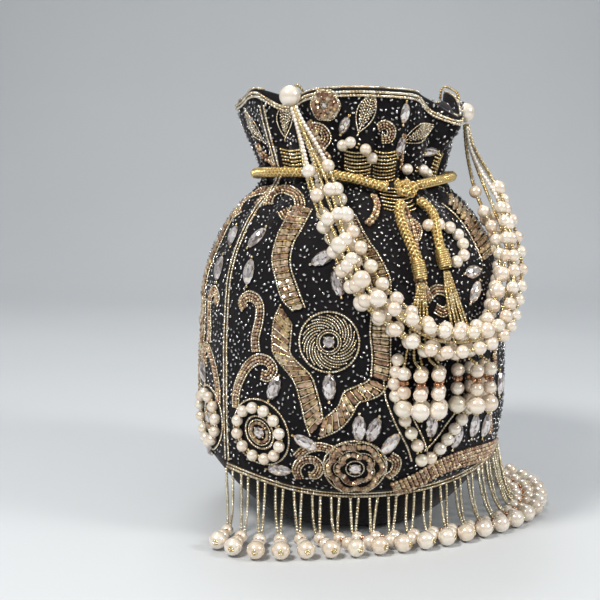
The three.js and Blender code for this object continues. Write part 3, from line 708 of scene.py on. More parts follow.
def braid(path, radius):
    """Braided cord: strands wound both ways that pass over and under each other, round a core."""
    line, tangent, _ = resample(path, BRAID_STEP)
    n = len(line)
    normal = np.zeros_like(line)
    current = unit(np.cross(tangent[0], np.array([0.2, 0.1, 1.0])))
    for i in range(n):
        current = unit(current - tangent[i] * (current @ tangent[i]))
        normal[i] = current
    side = np.cross(tangent, normal)
    s = np.arange(n) * BRAID_STEP
    verts, faces, count = [], [], 0
    thick = radius * 0.2
    for way in (1, -1):
        for k in range(BRAID_STRANDS):
            phi = way * 2 * math.pi * s / BRAID_TURN + 2 * math.pi * k / BRAID_STRANDS
            weave = np.cos(2 * math.pi * BRAID_STRANDS * s / BRAID_TURN)
            reach = radius * 0.8 + way * radius * 0.12 * weave
            centre = line + normal * (reach * np.cos(phi))[:, None] + side * (reach * np.sin(phi))[:, None]
            v, f = tube(centre, thick, BRAID_SIDES)
            verts.append(v)
            faces += [q + count for q in f]
            count += len(v)
    core, _, _ = resample(path, 3.0)
    core = np.concatenate([line[:1], core, line[-1:]])
    v, f = tube(core, radius * 0.48, 8)
    verts.append(v)
    faces += [q + count for q in f]
    quads = np.concatenate([f for f in faces if f.shape[1] == 4])
    tris = np.concatenate([f for f in faces if f.shape[1] == 3])
    return np.concatenate(verts), [quads, tris]


def on_bag(rows):
    rows = np.asarray(rows, float)
    return place(rows[:, 0], surface_radius(rows[:, 0], rows[:, 1]) + rows[:, 2], rows[:, 1])


def drawstring_line():
    route = np.array(DRAWSTRING_ROUTE, float)
    sideways = np.mod(route[:, 0], 180) - 90
    over = 3.9 * np.exp(-((sideways / 12) ** 2))
    radius = outline_radius(route[:, 1] - CORD_RADIUS) + PLEAT_DEPTH * 0.36 + CORD_RADIUS + 1.2
    return spline(place(route[:, 0], radius + over, route[:, 1]), per=14)


verts, faces = braid(drawstring_line(), CORD_RADIUS)
drawstring = new_object("drawstring_braid", verts, faces, GOLD_CORD)
bag_piece(drawstring, nodes=["drawstring"])

KNOT_AZIMUTH, KNOT_HEIGHT, KNOT_STANDOFF = -13.5, 202.0, 9.4


def knot_line():
    centre = place(KNOT_AZIMUTH, outline_radius(KNOT_HEIGHT) + KNOT_STANDOFF, KNOT_HEIGHT)
    a = KNOT_AZIMUTH * D2R
    tangent = np.array([math.cos(a), math.sin(a), 0.0])
    out = np.array([math.sin(a), -math.cos(a), 0.0])
    up = np.array([0, 0, 1.0])
    t = np.linspace(0, 1, 60)
    turn = 2 * math.pi * (1.9 * t + 0.3)
    line = centre + tangent * ((t - 0.5) * 8.4)[:, None] + out * (2.7 * np.cos(turn))[:, None]
    return line + up * (2.9 * np.sin(turn) + (0.5 - t) * 1.5)[:, None]


verts, faces = braid(knot_line(), 2.5)
knot = new_object("drawstring_knot_braid", verts, faces, GOLD_CORD)
bag_piece(knot, nodes=["drawstring_knot"])


THREAD_RADIUS = 0.35


def thread_cord(name, path, body="bag"):
    verts, faces = tube(path, THREAD_RADIUS, 6)
    piece = new_object(name, verts, faces, GOLD_THREAD)
    bag_piece(piece, body)


EDGE_SEED = turned([(-0.5, 0.5), (-0.12, 1.0), (0.12, 1.0), (0.5, 0.5)], 5)
STRAND_SEED = turned([(-0.5, 0.34), (-0.24, 0.96), (0.24, 0.96), (0.5, 0.34)], 6)
LONG_BEADS = (SEED, EDGE_SEED, STRAND_SEED)


def string_beads(groups, line, pattern, start=0.0):
    """Threads beads on a line: pattern(distance) gives (collector, shape, length, radius)."""
    dist = distances(line)
    total = dist[-1]
    at = start
    while at < total - 0.2:
        group, shape, length, radius = pattern(at)
        if at + length > total + 0.5:
            break
        mid = at + length / 2
        p = points_at(line, dist, mid)
        along = unit(points_at(line, dist, mid + 0.4) - points_at(line, dist, mid - 0.4))
        ref = np.array([0.1, 0.2, 1.0]) if abs(along[2]) < 0.8 else np.array([1.0, 0.2, 0.1])
        stretched = any(shape is bead for bead in LONG_BEADS)
        groups[group].add(shape, p, along, ref, (length if stretched else radius, radius, radius))
        at += length


CLUSTER_SEEDS = 3
TIP_SEEDS = 5


def pearl_cluster(groups, start, direction, small=3.9, big=5.1):
    """Small pearl, copper seeds, small pearl, big pearl and a ring of tiny gold seeds at the tip."""
    direction = unit(np.asarray(direction, float))
    ref = np.array([0.3, 0.2, 1.0]) if abs(direction[2]) < 0.8 else np.array([1.0, 0.2, 0.1])
    side = unit(np.cross(direction, ref))
    lift = np.cross(side, direction)
    at = start + direction * small
    groups["pearl"].add(PEARL, at, side, direction, (small,) * 3)
    ring = at + direction * (small + 1.2)
    turn = rng.random() * 6
    for k in range(CLUSTER_SEEDS):
        a = turn + 2 * math.pi * k / CLUSTER_SEEDS
        seed_at = ring + (side * math.cos(a) + lift * math.sin(a)) * 1.6
        groups["copper"].add(SMALL_BALL, seed_at, side, direction, (1.35,) * 3)
    at = at + direction * (2 * small + 2.4)
    groups["pearl"].add(PEARL, at, side, direction, (small,) * 3)
    at = at + direction * (small + big)
    groups["pearl"].add(PEARL, at, side, direction, (big,) * 3)
    tip = at + direction * big
    for k in range(TIP_SEEDS):
        a = 2 * math.pi * k / TIP_SEEDS
        seed_at = tip + (side * math.cos(a) + lift * math.sin(a)) * 1.1 - direction * 0.3
        groups["gold"].add(TINY_BALL, seed_at, side, direction, (0.75,) * 3)
    return tip


for name in ("left", "right"):
    tail = spline(on_bag(TAIL_ROUTES[name]), per=10)
    hang = spline(on_bag(TASSEL_ROUTES[name]), per=12)
    along = unit(hang[0] - tail[-1])
    wrap_start = tail[-1] + along * 0.9
    wrap_end = wrap_start + along * WRAP_LENGTH
    whole = np.concatenate([tail, [tail[-1] + along * d for d in (1.5, 4, 7, 10)]])
    verts, faces = braid(whole, CORD_RADIUS)
    tail_piece = new_object("tail_braid_" + name, verts, faces, GOLD_CORD)
    bag_piece(tail_piece, nodes=["drawstring_tail_" + name])

    t = np.linspace(0, 1, BINDING_TURNS * 18)
    out = unit(np.array([wrap_start[0], wrap_start[1], 0]))
    side = unit(np.cross(along, out))
    out = np.cross(side, along)
    bulge = 3.25 + 0.45 * np.sin(math.pi * t)
    turned_by = 2 * math.pi * BINDING_TURNS * t
    coil = wrap_start + along * (t * WRAP_LENGTH)[:, None] + out * (bulge * np.cos(turned_by))[:, None]
    coil = coil + side * (bulge * np.sin(turned_by))[:, None]
    verts, faces = tube(coil, 0.5, 6)
    wrap = new_object("tail_binding_" + name, verts, faces, GOLD_CORD)
    bag_piece(wrap, nodes=["tassel_wrap_" + name])

    groups = {key: Beads() for key in ("pearl", "copper", "gold")}
    threads = []
    top = wrap_end + along * 0.3
    for i in range(5):
        outer = i % 2
        across = (i - 2) / 2
        points = []
        for share in (0, 0.3, 0.6, 0.84, 0.94, 1):
            k = share * (len(hang) - 1)
            p = hang[int(k)] + (hang[min(int(k) + 1, len(hang) - 1)] - hang[int(k)]) * (k - int(k))
            normal = unit(np.array([p[0], p[1], 0]))
            sideways = np.array([-normal[1], normal[0], 0])
            reach = 2.2 + (10.6 - 2.2) * share**1.5
            lift = outer * (0.4 + (10.6 * 0.88 - 0.4) * share**14)
            points.append(p + sideways * across * reach + normal * lift)
        points[0] = top + along + np.array([1, 0, 0]) * across * 1.6
        line = spline(points, per=10)
        end = line[-1]
        string_beads(groups, line, lambda at: ("gold", SEED, 1.75, 0.95), start=0.5)
        tip = pearl_cluster(groups, end, np.array([0, 0, -1.0]))
        path = np.concatenate([line, [end + (tip - end) * s for s in (0.3, 0.6, 0.95)]])
        threads.append(path)
    for key, material in (("pearl", PEARL_LOOK), ("copper", COPPER), ("gold", GOLD_SEED)):
        bag_piece(groups[key].build("tassel_" + key + "_" + name, material))
    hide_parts("tassel_" + name)
    for i, path in enumerate(threads):
        thread_cord("tassel_thread_%s_%d" % (name, i + 1), path)

# Handle
HANDLE_ROUTE = [
    [-68, 74.5, 252.7], [-62.2, 78, 238], [-56.4, 82, 222.7], [-51.7, 86.5, 207.6], [-47.6, 91, 193.2],
    [-43.9, 96, 180], [-40.6, 101, 167], [-36, 105.5, 151.6], [-32.3, 107, 143.7], [-27.6, 107.5, 136.2],
    [-23, 108, 129.2], [-18.4, 108.2, 123.9], [-13.5, 108.2, 120.8], [-8.3, 108.7, 119.6], [-3, 108.9, 119.8],
    [3, 108, 121.2], [7.5, 107.5, 124.5], [11.5, 106.5, 129.5], [15, 105, 136.2], [18.5, 103.6, 144.3],
    [22.3, 102, 153.8], [25.2, 99.4, 163.5], [28.6, 94, 177.5], [33, 86.5, 192], [37.4, 79.2, 206.6],
    [41, 73.4, 220.5], [42.5, 70.4, 231.5], [43, 68.3, 247],
]
HANDLE_PEARL = 6.0
HANDLE_RING = 7.4
HANDLE_TIE = 2.6
HANDLE_SPREAD_SHARE = 0.17
# Share of each strand that has seeds only, at its left end and its right end
SEEDS_ONLY = [
    (0.2, 0.2), (0.1, 0.15), (0.15, 0.13), (0.115, 0.17), (0.17, 0.14), (0.13, 0.18), (0.185, 0.16),
]
HANDLE_STRANDS = 7
MILKY_STRANDS = (1, 3, 5)
handle_line = spline(place(*np.array(HANDLE_ROUTE, float).T), per=10)
handle_ends = {"left": handle_line[0], "right": handle_line[-1]}
handle_points, handle_tangents, _ = resample(handle_line, 2.0)
HANDLE_LENGTH = length_of(handle_line)


def handle_strand(i):
    n = len(handle_points)
    t = (np.arange(n) + 0.5) / n
    first = HANDLE_PEARL / HANDLE_LENGTH
    keep = (t > first * 0.9) & (t < 1 - first * 0.9)
    t, p, tangent = t[keep], handle_points[keep], handle_tangents[keep]
    normal = unit(np.stack([p[:, 0], p[:, 1], np.zeros(len(p))], -1))
    normal = unit(normal - tangent * np.sum(normal * tangent, 1)[:, None])
    side = np.cross(tangent, normal)
    from_end = np.minimum(t, 1 - t)
    full = smoothstep(from_end, 0.01, HANDLE_SPREAD_SHARE)
    reach = np.where(i == 0, 0.0, HANDLE_TIE * 0.45 + (HANDLE_RING - HANDLE_TIE * 0.45) * full)
    sway = 0.25 * np.sin(7 * math.pi * t + i * 1.9) * full + 0.35 * np.sin(3 * math.pi * t + i) * full
    angle = 2 * math.pi * i / (HANDLE_STRANDS - 1) + sway
    return p + side * (reach * np.cos(angle))[:, None] + normal * (reach * np.sin(angle))[:, None]


for name in ("left", "right"):
    pearl_bead = Beads()
    size = (HANDLE_PEARL,) * 3
    pearl_bead.add(ball(28, 18), handle_ends[name], np.array([1.0, 0, 0]), np.array([0, 0, 1.0]), size, 0.8)
    piece = pearl_bead.build("end_pearl_" + name, PEARL_LOOK)
    bag_piece(piece, "handle", ["handle_pearl_" + name])

for i in range(HANDLE_STRANDS):
    line = handle_strand(i)
    length = length_of(line)
    groups = {key: Beads() for key in ("pearl", "seed", "gold")}
    milky = i in MILKY_STRANDS
    seeds_until = SEEDS_ONLY[i][0] * length
    seeds_after = length - SEEDS_ONLY[i][1] * length
    state = {"wait": 0}

    def pattern(at):
        if at < seeds_until or at > seeds_after:
            if milky:
                return "seed", TINY_BALL, 2.5, 1.3
            return "gold", SEED, 1.8, 1.0
        if i == 0:
            return "gold", SEED, 1.8, 1.0
        if state["wait"] == 0:
            near_end = min(at, length - at) < 0.2 * length
            state["wait"] = 4 if near_end else 1 + int(rng.random() < 0.6)
            radius = 3.65 + 0.3 * rng.random() + (0.9 if rng.random() < 0.06 else 0)
            return "pearl", PEARL, 2 * radius, radius
        state["wait"] -= 1
        return "gold", SEED, 1.8, 1.1

    string_beads(groups, line, pattern, start=0.2)
    for key, material in (("pearl", PEARL_LOOK), ("seed", MILK_SEED), ("gold", GOLD_SEED)):
        if groups[key].count:
            piece = groups[key].build("handle_%s_%d" % (key, i + 1), material)
            bag_piece(piece, "handle")
    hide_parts("handle_strand_%d" % (i + 1))
    thread_cord("handle_thread_%d" % (i + 1), line, "handle")

for name, azimuth in (("left", -68.0), ("right", 43.0)):
    centre = handle_ends[name]
    outward = unit(np.array([centre[0], centre[1], 0]))
    push, drop = ruffle(np.array(azimuth), np.array(RIM_HEIGHT))
    rim_radius = float(outline_radius(RIM_HEIGHT) + push)
    rim_height = float(RIM_HEIGHT - drop)
    lean = -0.75 * outward + np.array([0, 0, 0.66])
    start = centre + lean * (HANDLE_PEARL + 0.5)
    crest = place(azimuth, rim_radius - 1, rim_height + 4.6)
    knee = start + (crest - start) * 0.4 + outward * (crest[2] - start[2]) * 0.3 + np.array([0, 0, 2.0])
    path = spline([
        start,
        knee,
        crest,
        place(azimuth, rim_radius - 4.0, rim_height + 1.6),
        place(azimuth, rim_radius - 4.4, rim_height - 6),
    ], per=8)
    loop = Beads()
    points, tangents, _ = resample(path, 1.7)
    loop.add(SEED, points, tangents, np.array([0.1, 0.2, 1.0]), (1.7, 0.9, 0.9))
    bead_ring = centre + lean * HANDLE_PEARL
    side = np.array([-outward[1], outward[0], 0.0])
    rise = np.cross(lean, side)
    for k in range(6):
        a = 2 * math.pi * k / 6
        seed_at = bead_ring + side * 1.5 * math.cos(a) + rise * 1.5 * math.sin(a)
        loop.add(TINY_BALL, seed_at, side, lean, (0.85,) * 3)
    piece = loop.build("handle_loop_beads_" + name, GOLD_SEED)
    bag_piece(piece, "bag", ["handle_loop_" + name])

# Velvet shells
SHELL_COLUMNS = 360
UPPER_ROWS = 60
LOWER_ROWS = 16
UNDER_ROWS = 14
VELVET_THICK = 2.0


def shell_rows(az):
    """Outer face as rows of (radius, height): rim down to the seam, under to the base and across it."""
    rows = []
    heights = RIM_HEIGHT - (RIM_HEIGHT - WIDEST_HEIGHT) * np.linspace(0, 1, UPPER_ROWS)
    for h in heights:
        push, drop = ruffle(az, np.full_like(az, h))
        rows.append((outline_radius(h) + pleat(az, h) + push, h - drop))
    end_radius, end_height = seam(az)
    for share in np.linspace(0, 1, LOWER_ROWS + 1)[1:]:
        rows.append((end_radius + (WIDEST_RADIUS - end_radius) * (1 - share**2),
                     WIDEST_HEIGHT - (WIDEST_HEIGHT - end_height) * share))
    seam_row = len(rows) - 1
    for share in np.linspace(0, 1, UNDER_ROWS + 1)[1:]:
        rows.append((BASE_RADIUS + (end_radius - BASE_RADIUS) * (1 - share), end_height * (1 - share) ** 1.7))
    for share in (0.25, 0.5, 0.75, 0.93):
        rows.append((np.full_like(az, BASE_RADIUS * (1 - share)), np.zeros_like(az)))
    return rows, seam_row


def shell_grids():
    az = -90 + 360.0 * np.arange(SHELL_COLUMNS) / SHELL_COLUMNS
    rows, seam_row = shell_rows(az)
    outer = np.stack([place(az, r, z) for r, z in rows])
    across = np.roll(outer, -1, 1) - np.roll(outer, 1, 1)
    down = np.zeros_like(outer)
    down[1:-1] = outer[2:] - outer[:-2]
    down[0] = outer[1] - outer[0]
    down[-1] = outer[-1] - outer[-2]
    normal = unit(np.cross(down, across))
    inner = outer - normal * VELVET_THICK
    inner[outer[..., 2] < 1e-6] = (outer - np.array([0, 0, -VELVET_THICK]))[outer[..., 2] < 1e-6]
    return outer, inner, seam_row


SHELL_OUT, SHELL_IN, SEAM_ROW = shell_grids()
SHELL_ROWS = len(SHELL_OUT)


def shell_piece(name, owned, seam_shift, side_shift):
    """Closed shell from the owned cells of the grid, with walls round its edge and a rounded rim."""
    outer, inner = SHELL_OUT.copy(), SHELL_IN.copy()
    step = unit(outer[SEAM_ROW] - outer[SEAM_ROW - 1]) * seam_shift
    outer[SEAM_ROW] += step
    inner[SEAM_ROW] += step
    half_turn = SHELL_COLUMNS // 2
    for column, way in ((0, 1), (half_turn, -1)):
        shift = unit(outer[:, (column + 1) % SHELL_COLUMNS] - outer[:, column - 1]) * way * side_shift
        outer[:SEAM_ROW, column] += shift[:SEAM_ROW]
        inner[:SEAM_ROW, column] += shift[:SEAM_ROW]
    rim = (outer[0] + inner[0]) / 2 + np.array([0, 0, 0.9])
    n = SHELL_ROWS * SHELL_COLUMNS
    centre_out, centre_in = 2 * n + SHELL_COLUMNS, 2 * n + SHELL_COLUMNS + 1
    faces_of_shell = [outer.reshape(-1, 3), inner.reshape(-1, 3)]
    verts = np.concatenate(faces_of_shell + [rim, [[0, 0, 0]], [[0, 0, VELVET_THICK]]])
    index = np.arange(n).reshape(SHELL_ROWS, SHELL_COLUMNS)
    right = np.roll(index, -1, 1)
    quads, tris = [], []
    r, c = np.nonzero(owned[:-1])
    a, b, d, e = index[r, c], right[r, c], right[r + 1, c], index[r + 1, c]
    quads.append(np.stack([e, d, b, a], -1))
    quads.append(np.stack([a, b, d, e], -1) + n)
    top = np.nonzero(owned[0])[0]
    rim_index = 2 * n + np.arange(SHELL_COLUMNS)
    rim_next = np.roll(rim_index, -1)
    quads.append(np.stack([index[0, top], right[0, top], rim_next[top], rim_index[top]], -1))
    quads.append(np.stack([rim_index[top], rim_next[top], right[0, top] + n, index[0, top] + n], -1))
    for row in range(1, SHELL_ROWS - 1):
        above = owned[row - 1] & ~owned[row]
        below = owned[row] & ~owned[row - 1]
        a, b = right[row, np.nonzero(above)[0]], index[row, np.nonzero(above)[0]]
        quads.append(np.stack([a, b, b + n, a + n], -1))
        a, b = index[row, np.nonzero(below)[0]], right[row, np.nonzero(below)[0]]
        quads.append(np.stack([a, b, b + n, a + n], -1))
    left = np.roll(owned, 1, 1)
    rows, cols = np.nonzero(owned[:-1] & ~left[:-1])
    a, b = index[rows, cols], index[rows + 1, cols]
    quads.append(np.stack([a, a + n, b + n, b], -1)[:, ::-1])
    for column in np.unique(cols[rows == 0]):
        tris.append([rim_index[column], index[0, column] + n, index[0, column]])
    rows, cols = np.nonzero(~owned[:-1] & left[:-1])
    a, b = index[rows, cols], index[rows + 1, cols]
    quads.append(np.stack([a, a + n, b + n, b], -1))
    for column in np.unique(cols[rows == 0]):
        tris.append([rim_index[column], index[0, column], index[0, column] + n])
    if owned[-1].any():
        last = index[-1]
        after = np.roll(last, -1)
        for k in range(SHELL_COLUMNS):
            tris.append([last[k], centre_out, after[k]])
            tris.append([last[k] + n, after[k] + n, centre_in])
    quads = np.concatenate(quads)
    tris = np.array(tris)
    used = np.zeros(len(verts), bool)
    used[quads.ravel()] = True
    used[tris.ravel()] = True
    new = np.cumsum(used) - 1
    return new_object(name, verts[used], [new[quads], new[tris]], VELVET)


front_owned = np.zeros((SHELL_ROWS, SHELL_COLUMNS), bool)
front_owned[:SEAM_ROW, :SHELL_COLUMNS // 2] = True
back_owned = ~front_owned
front_shell = shell_piece("front_velvet", front_owned, -0.15, 0.08)
front_velvet = bag_piece(front_shell, nodes=["front_panel"])
back_shell = shell_piece("back_velvet", back_owned, 0.0, 0.0)
back_velvet = bag_piece(back_shell, nodes=["back_panel"])

# Lining
LINING_COLUMNS = 240


def lining_piece():
    columns = LINING_COLUMNS
    az = 360.0 * np.arange(columns) / columns
    base = np.array([
        [4.2, 0.5], [4.2, 30], [8, 40], [16, 50], [32, 64], [54, 79], [84, 87.5], [130, 87], [165, 79],
        [188, 63], [200, 53.5], [209, 47.5], [222, 50], [236, 55], [251.5, 62.5],
    ], float)
    dense = spline(base, per=5)
    outer = []
    for z, r in dense:
        radius = np.full(columns, r)
        if z > 60:
            push, drop = ruffle(az, np.full(columns, z))
            velvet = outline_radius(z) + pleat(az, z) + push - VELVET_THICK - 1.1
            radius = np.minimum(r + (pleat(az, z) * 0.7 + push) * smoothstep(z, 150, 251), velvet)
            outer.append(place(az, radius, z - drop * smoothstep(z, 215, 251)))
        else:
            outer.append(place(az, radius, z))
    outer = np.stack(outer)
    inner = outer.copy()
    radius = np.hypot(outer[..., 0], outer[..., 1])
    inner[..., :2] *= (np.maximum(radius - 0.5, 0.3) / radius)[..., None]
    inner[..., 2] += 0.45 * (1 - smoothstep(outer[..., 2], 8, 40))
    n = outer.shape[0] * columns
    verts = np.concatenate([outer.reshape(-1, 3), inner.reshape(-1, 3)])
    index = np.arange(n).reshape(-1, columns)
    right = np.roll(index, -1, 1)
    a, b, d, e = index[:-1].ravel(), right[:-1].ravel(), right[1:].ravel(), index[1:].ravel()
    quads = [np.stack([a, b, d, e], -1), np.stack([e, d, b, a], -1) + n]
    top, last = index[-1], right[-1]
    quads.append(np.stack([top, last, last + n, top + n], -1))
    caps = []
    for k in range(1, columns - 1):
        caps.append([index[0, 0], index[0, k + 1], index[0, k]])
        caps.append([index[0, 0] + n, index[0, k] + n, index[0, k + 1] + n])
    return new_object("satin_pouch", verts, [np.concatenate(quads), np.array(caps)], SATIN)


bag_piece(lining_piece(), nodes=["lining"])

# Sewing beads on the bag
UP_Z = np.array([0.0, 0.0, 1.0])


def chart_of(points):
    return np.degrees(np.arctan2(points[:, 0], -points[:, 1])), points[:, 2]


def settle(points):
    """Nearest surface points at the same azimuth and height, with normals."""
    az, z = chart_of(points)
    return surface(az, z), surface_normal(az, z)


def lay(chart, closed=False):
    """Dense 3-D line on the bag through chart points."""
    chart = np.asarray(chart, float)
    dense = spline(chart, closed=closed, per=14)
    return surface(dense[:, 0], dense[:, 1])


def shifted(line, offset):
    """The open line moved sideways along the surface."""
    tangent = unit(np.gradient(line, axis=0))
    _, normal = settle(line)
    side = np.cross(normal, tangent)
    moved, _ = settle(line + side * np.asarray(offset, float).reshape(-1, 1))
    return moved


def sew(group, line, pitch, size, shape=EDGE_SEED, offset=0.0, closed=False, keep=1.0, lift=None):
    """Beads at a pitch along a line on the bag."""
    if np.any(offset):
        line = shifted(line, offset)
    points, tangent, _ = resample(line, pitch, closed)
    points, normal = settle(points)
    size = np.asarray(size, float)
    rise = size[2] * 0.75 if lift is None else lift
    jitter = 1 + 0.08 * (rng.random((len(points), 1)) - 0.5)
    group.add(shape, points + normal * rise, tangent, normal, size * jitter, keep=keep)


SEWN = {}
for key in ("front", "back"):
    SEWN[key] = {kind: Beads() for kind in ("line", "chip", "tan", "round", "stone", "pearl", "gold")}
SEED_SIZE = (1.62, 0.8, 0.8)
SEED_PITCH = 1.62
CLOSE_PITCH = 1.6
FINE_SIZE = (1.3, 0.6, 0.6)
FINE_PITCH = 1.3
SHORTEST_SCROLL = 6.0


def scroll_line(sewn, chart, width, bead=3.0):
    """Two rows of round bronze beads between two outlines of seeds."""
    line = lay(chart)
    if length_of(line) < SHORTEST_SCROLL:
        return
    for way in (1, -1):
        sew(sewn["line"], line, CLOSE_PITCH, SEED_SIZE, offset=way * width / 2)
    for way in (1, -1):
        sew(sewn["round"], line, bead * 0.75, (bead * 0.36, (width - 1.6) / 4, 1.1), shape=TINY_BALL,
            offset=way * (width - 1.5) / 4, keep=width / 2, lift=0.9)


def outline_line(sewn, chart, size):
    sew(sewn["line"], lay(chart), size[0] + 0.08, size)


def lay_across(sewn, middle, way, width):
    """One uneven glass bead across a band, or two that share a wide one."""
    split = 0.5 + 0.16 * (rng.random() - 0.5)
    parts = [(0.0, 1.0)] if width < 8.6 else [(0.0, split), (split, 1.0)]
    for first, last in parts:
        at = middle + way * width * ((first + last) / 2 - 0.5)
        q, normal = settle(at[None])
        size = (width * (last - first) * 0.97, 1.5 + 0.2 * rng.random(), 1.45)
        sewn["tan"].add(LUMPY[rng.integers(len(LUMPY))], q + normal * 0.9, way[None], normal, size, keep=4.0)


BAND_STEPS = 160
BAND_PITCH = 3.7
BAND_EDGES = 1.9


def even_steps(line):
    """The line's points at even steps from end to end."""
    dist = distances(line)
    return points_at(line, dist, np.linspace(0, 1, BAND_STEPS) * dist[-1])


def tan_band(sewn, left, right):
    """Wide band: two outlines, and faceted beads across it with thin gold bugles between."""
    a, b = even_steps(lay(left)), even_steps(lay(right))
    for edge in (a, b):
        sew(sewn["line"], edge, SEED_PITCH, SEED_SIZE)
    middle = (a + b) / 2
    across = b - a
    width = np.linalg.norm(across, axis=1)
    dist = distances(middle)
    n = max(int(dist[-1] / BAND_PITCH), 2)
    for kind, phase in (("tan", 0.5), ("gold", 1.0)):
        where = (np.arange(n) + phase) * dist[-1] / n
        where = where[where < dist[-1]]
        way = unit(points_at(across, dist, where))
        w = np.interp(where, dist, width)
        p, normal = settle(points_at(middle, dist, where))
        if kind == "tan":
            for i in range(len(w)):
                lay_across(sewn, p[i], way[i], w[i] - BAND_EDGES)
        else:
            size = np.stack([w - BAND_EDGES, np.full(len(w), 0.36), np.full(len(w), 0.36)], -1)
            sewn["gold"].add(BUGLE, p + normal * 1.5, way, normal, size, keep=4.0)


def from_centre(centre, x, y):
    """Chart points at distances in mm to the right of and above a chart point."""
    r = float(surface_radius(*centre))
    return np.stack([centre[0] + np.degrees(x / r), centre[1] + y], -1)


def ring_chart(centre, radius, count=24, start=0.0):
    """Chart points of a circle of a radius in mm about a chart point."""
    angle = (start + 360.0 * np.arange(count) / count) * D2R
    return from_centre(centre, radius * np.cos(angle), radius * np.sin(angle))


def ring(sewn, centre, radius, count=24, pitch=SEED_PITCH, size=SEED_SIZE):
    sew(sewn["line"], lay(ring_chart(centre, radius, count), True), pitch, size, closed=True)


def settle_chart(chart):
    """Surface points and normals at chart points."""
    chart = np.asarray(chart, float).reshape(-1, 2)
    return settle(surface(chart[:, 0], chart[:, 1]))


def chaton(sewn, centre, radius):
    p, normal = settle_chart(centre)
    up = unit(np.cross(normal, np.cross(UP_Z, normal)))
    size = (radius, radius, radius * 0.75)
    sewn["stone"].add(ROUND_STONE, p + normal * 0.9, up, normal, size, rng.random(1), radius + 0.5)
    for k in range(4):
        a = math.pi / 4 + k * math.pi / 2
        side = np.cross(normal, up)
        at = p + (up * math.cos(a) + side * math.sin(a)) * (radius + 0.15) + normal * 0.9
        sewn["gold"].add(TINY_BALL, at, up, normal, (0.55,) * 3)


MEDALLION_RADIUS = 16.4
MEDALLION_ARMS = 20
MEDALLION_SWIRL = 78
FLOWER_PEARLS = 12
FLOWER_REACH = 14.6
FLOWER_TURN = 8.0


def medallion(sewn, centre, flip):
    """Spiral medallion: a rim, swirl lines of fine beads, an inner double ring and a stone."""
    ring(sewn, centre, MEDALLION_RADIUS, pitch=CLOSE_PITCH)
    ring(sewn, centre, 6.6, 18, FINE_PITCH, FINE_SIZE)
    ring(sewn, centre, 5.2, 16, 1.25, FINE_SIZE)
    for k in range(MEDALLION_ARMS):
        t = np.linspace(0, 1, 8)
        angle = (360.0 * k / MEDALLION_ARMS + flip * MEDALLION_SWIRL * t) * D2R
        reach = 7.7 + (MEDALLION_RADIUS - 1.5 - 7.7) * t
        chart = from_centre(centre, reach * np.cos(angle), reach * np.sin(angle))
        sew(sewn["line"], lay(chart), FINE_PITCH, FINE_SIZE, keep=1.4)
    chaton(sewn, centre, 3.4)


def pearl_flower(sewn, centre):
    """Ring of pearls with gold seeds between, round rings of seeds, a ring of tan beads and a stone."""
    ring(sewn, centre, FLOWER_REACH + 4.6)
    p, normal = settle_chart(ring_chart(centre, FLOWER_REACH, FLOWER_PEARLS, FLOWER_TURN))
    up = np.broadcast_to(UP_Z, p.shape)
    sewn["pearl"].add(PEARL, p + normal * 2.9, up, normal, (3.35,) * 3, keep=4.6)
    between = ring_chart(centre, FLOWER_REACH, FLOWER_PEARLS, FLOWER_TURN + 180.0 / FLOWER_PEARLS)
    p, normal = settle_chart(between)
    for push in (-0.9, 0.9):
        toward = unit(p - surface(np.array(centre[0]), np.array(centre[1])))
        sewn["gold"].add(TINY_BALL, p + toward * push + normal * 2.1, toward, normal, (0.8,) * 3)
    ring(sewn, centre, 9.6, 20, 1.5)
    ring(sewn, centre, 7.4, 18, FINE_PITCH, FINE_SIZE)
    tan_ring = lay(ring_chart(centre, 5.6, 14), True)
    sew(sewn["tan"], tan_ring, 2.2, (2.0, 1.0, 1.0), shape=LUMPY[1], closed=True)
    chaton(sewn, centre, 3.6)


def rose(sewn, centre, flip, size=1.0):
    """Rose of faceted beads laid in petals round a stone."""
    chaton(sewn, centre, 3.6 * size)
    ring(sewn, centre, 5.0 * size, 16, FINE_PITCH, FINE_SIZE)
    for reach, petals, turn in ((8.2, 5, 0.0), (13.4, 6, 30.0)):
        for k in range(petals):
            t = np.linspace(0, 1, 9)
            angle = (360.0 * (k + t * 1.12) / petals + turn) * flip * D2R
            wave = (reach + 2.4 * np.sin(math.pi * t) - 1.0) * size
            line = lay(from_centre(centre, wave * np.cos(angle), wave * np.sin(angle)))
            sew(sewn["tan"], line, 2.7, (2.6, 1.6, 1.45), shape=LUMPY[k % 3], keep=3.4)
            sew(sewn["line"], line, 1.35, FINE_SIZE, offset=-flip * 2.2)
    ring(sewn, centre, 17.4 * size)


def crystal(sewn, centre, angle, length=7.7, width=4.0):
    """Navette sewn down by a seed at each tip; the angle is from straight up, clockwise as seen."""
    p, normal = settle_chart(centre)
    up = unit(UP_Z - normal * (normal @ UP_Z)[:, None])
    right_way = np.cross(up, normal)
    a = angle * D2R
    along = up * math.cos(a) + right_way * math.sin(a)
    stone = STONES[rng.integers(len(STONES))]
    size = (length, width, 2.6)
    sewn["stone"].add(stone, p + normal * 0.8, along, normal, size, rng.random(1), width + 1.2)
    for way in (-1, 1):
        q, normal2 = settle(p + along * way * (length + 0.6))
        sewn["gold"].add(TINY_BALL, q + normal2 * 0.8, along, normal2, (0.95,) * 3, keep=1.2)
        sewn["stone"].spots.append(np.concatenate([p + along * way * length * 0.55, [[width + 0.4]]], 1))


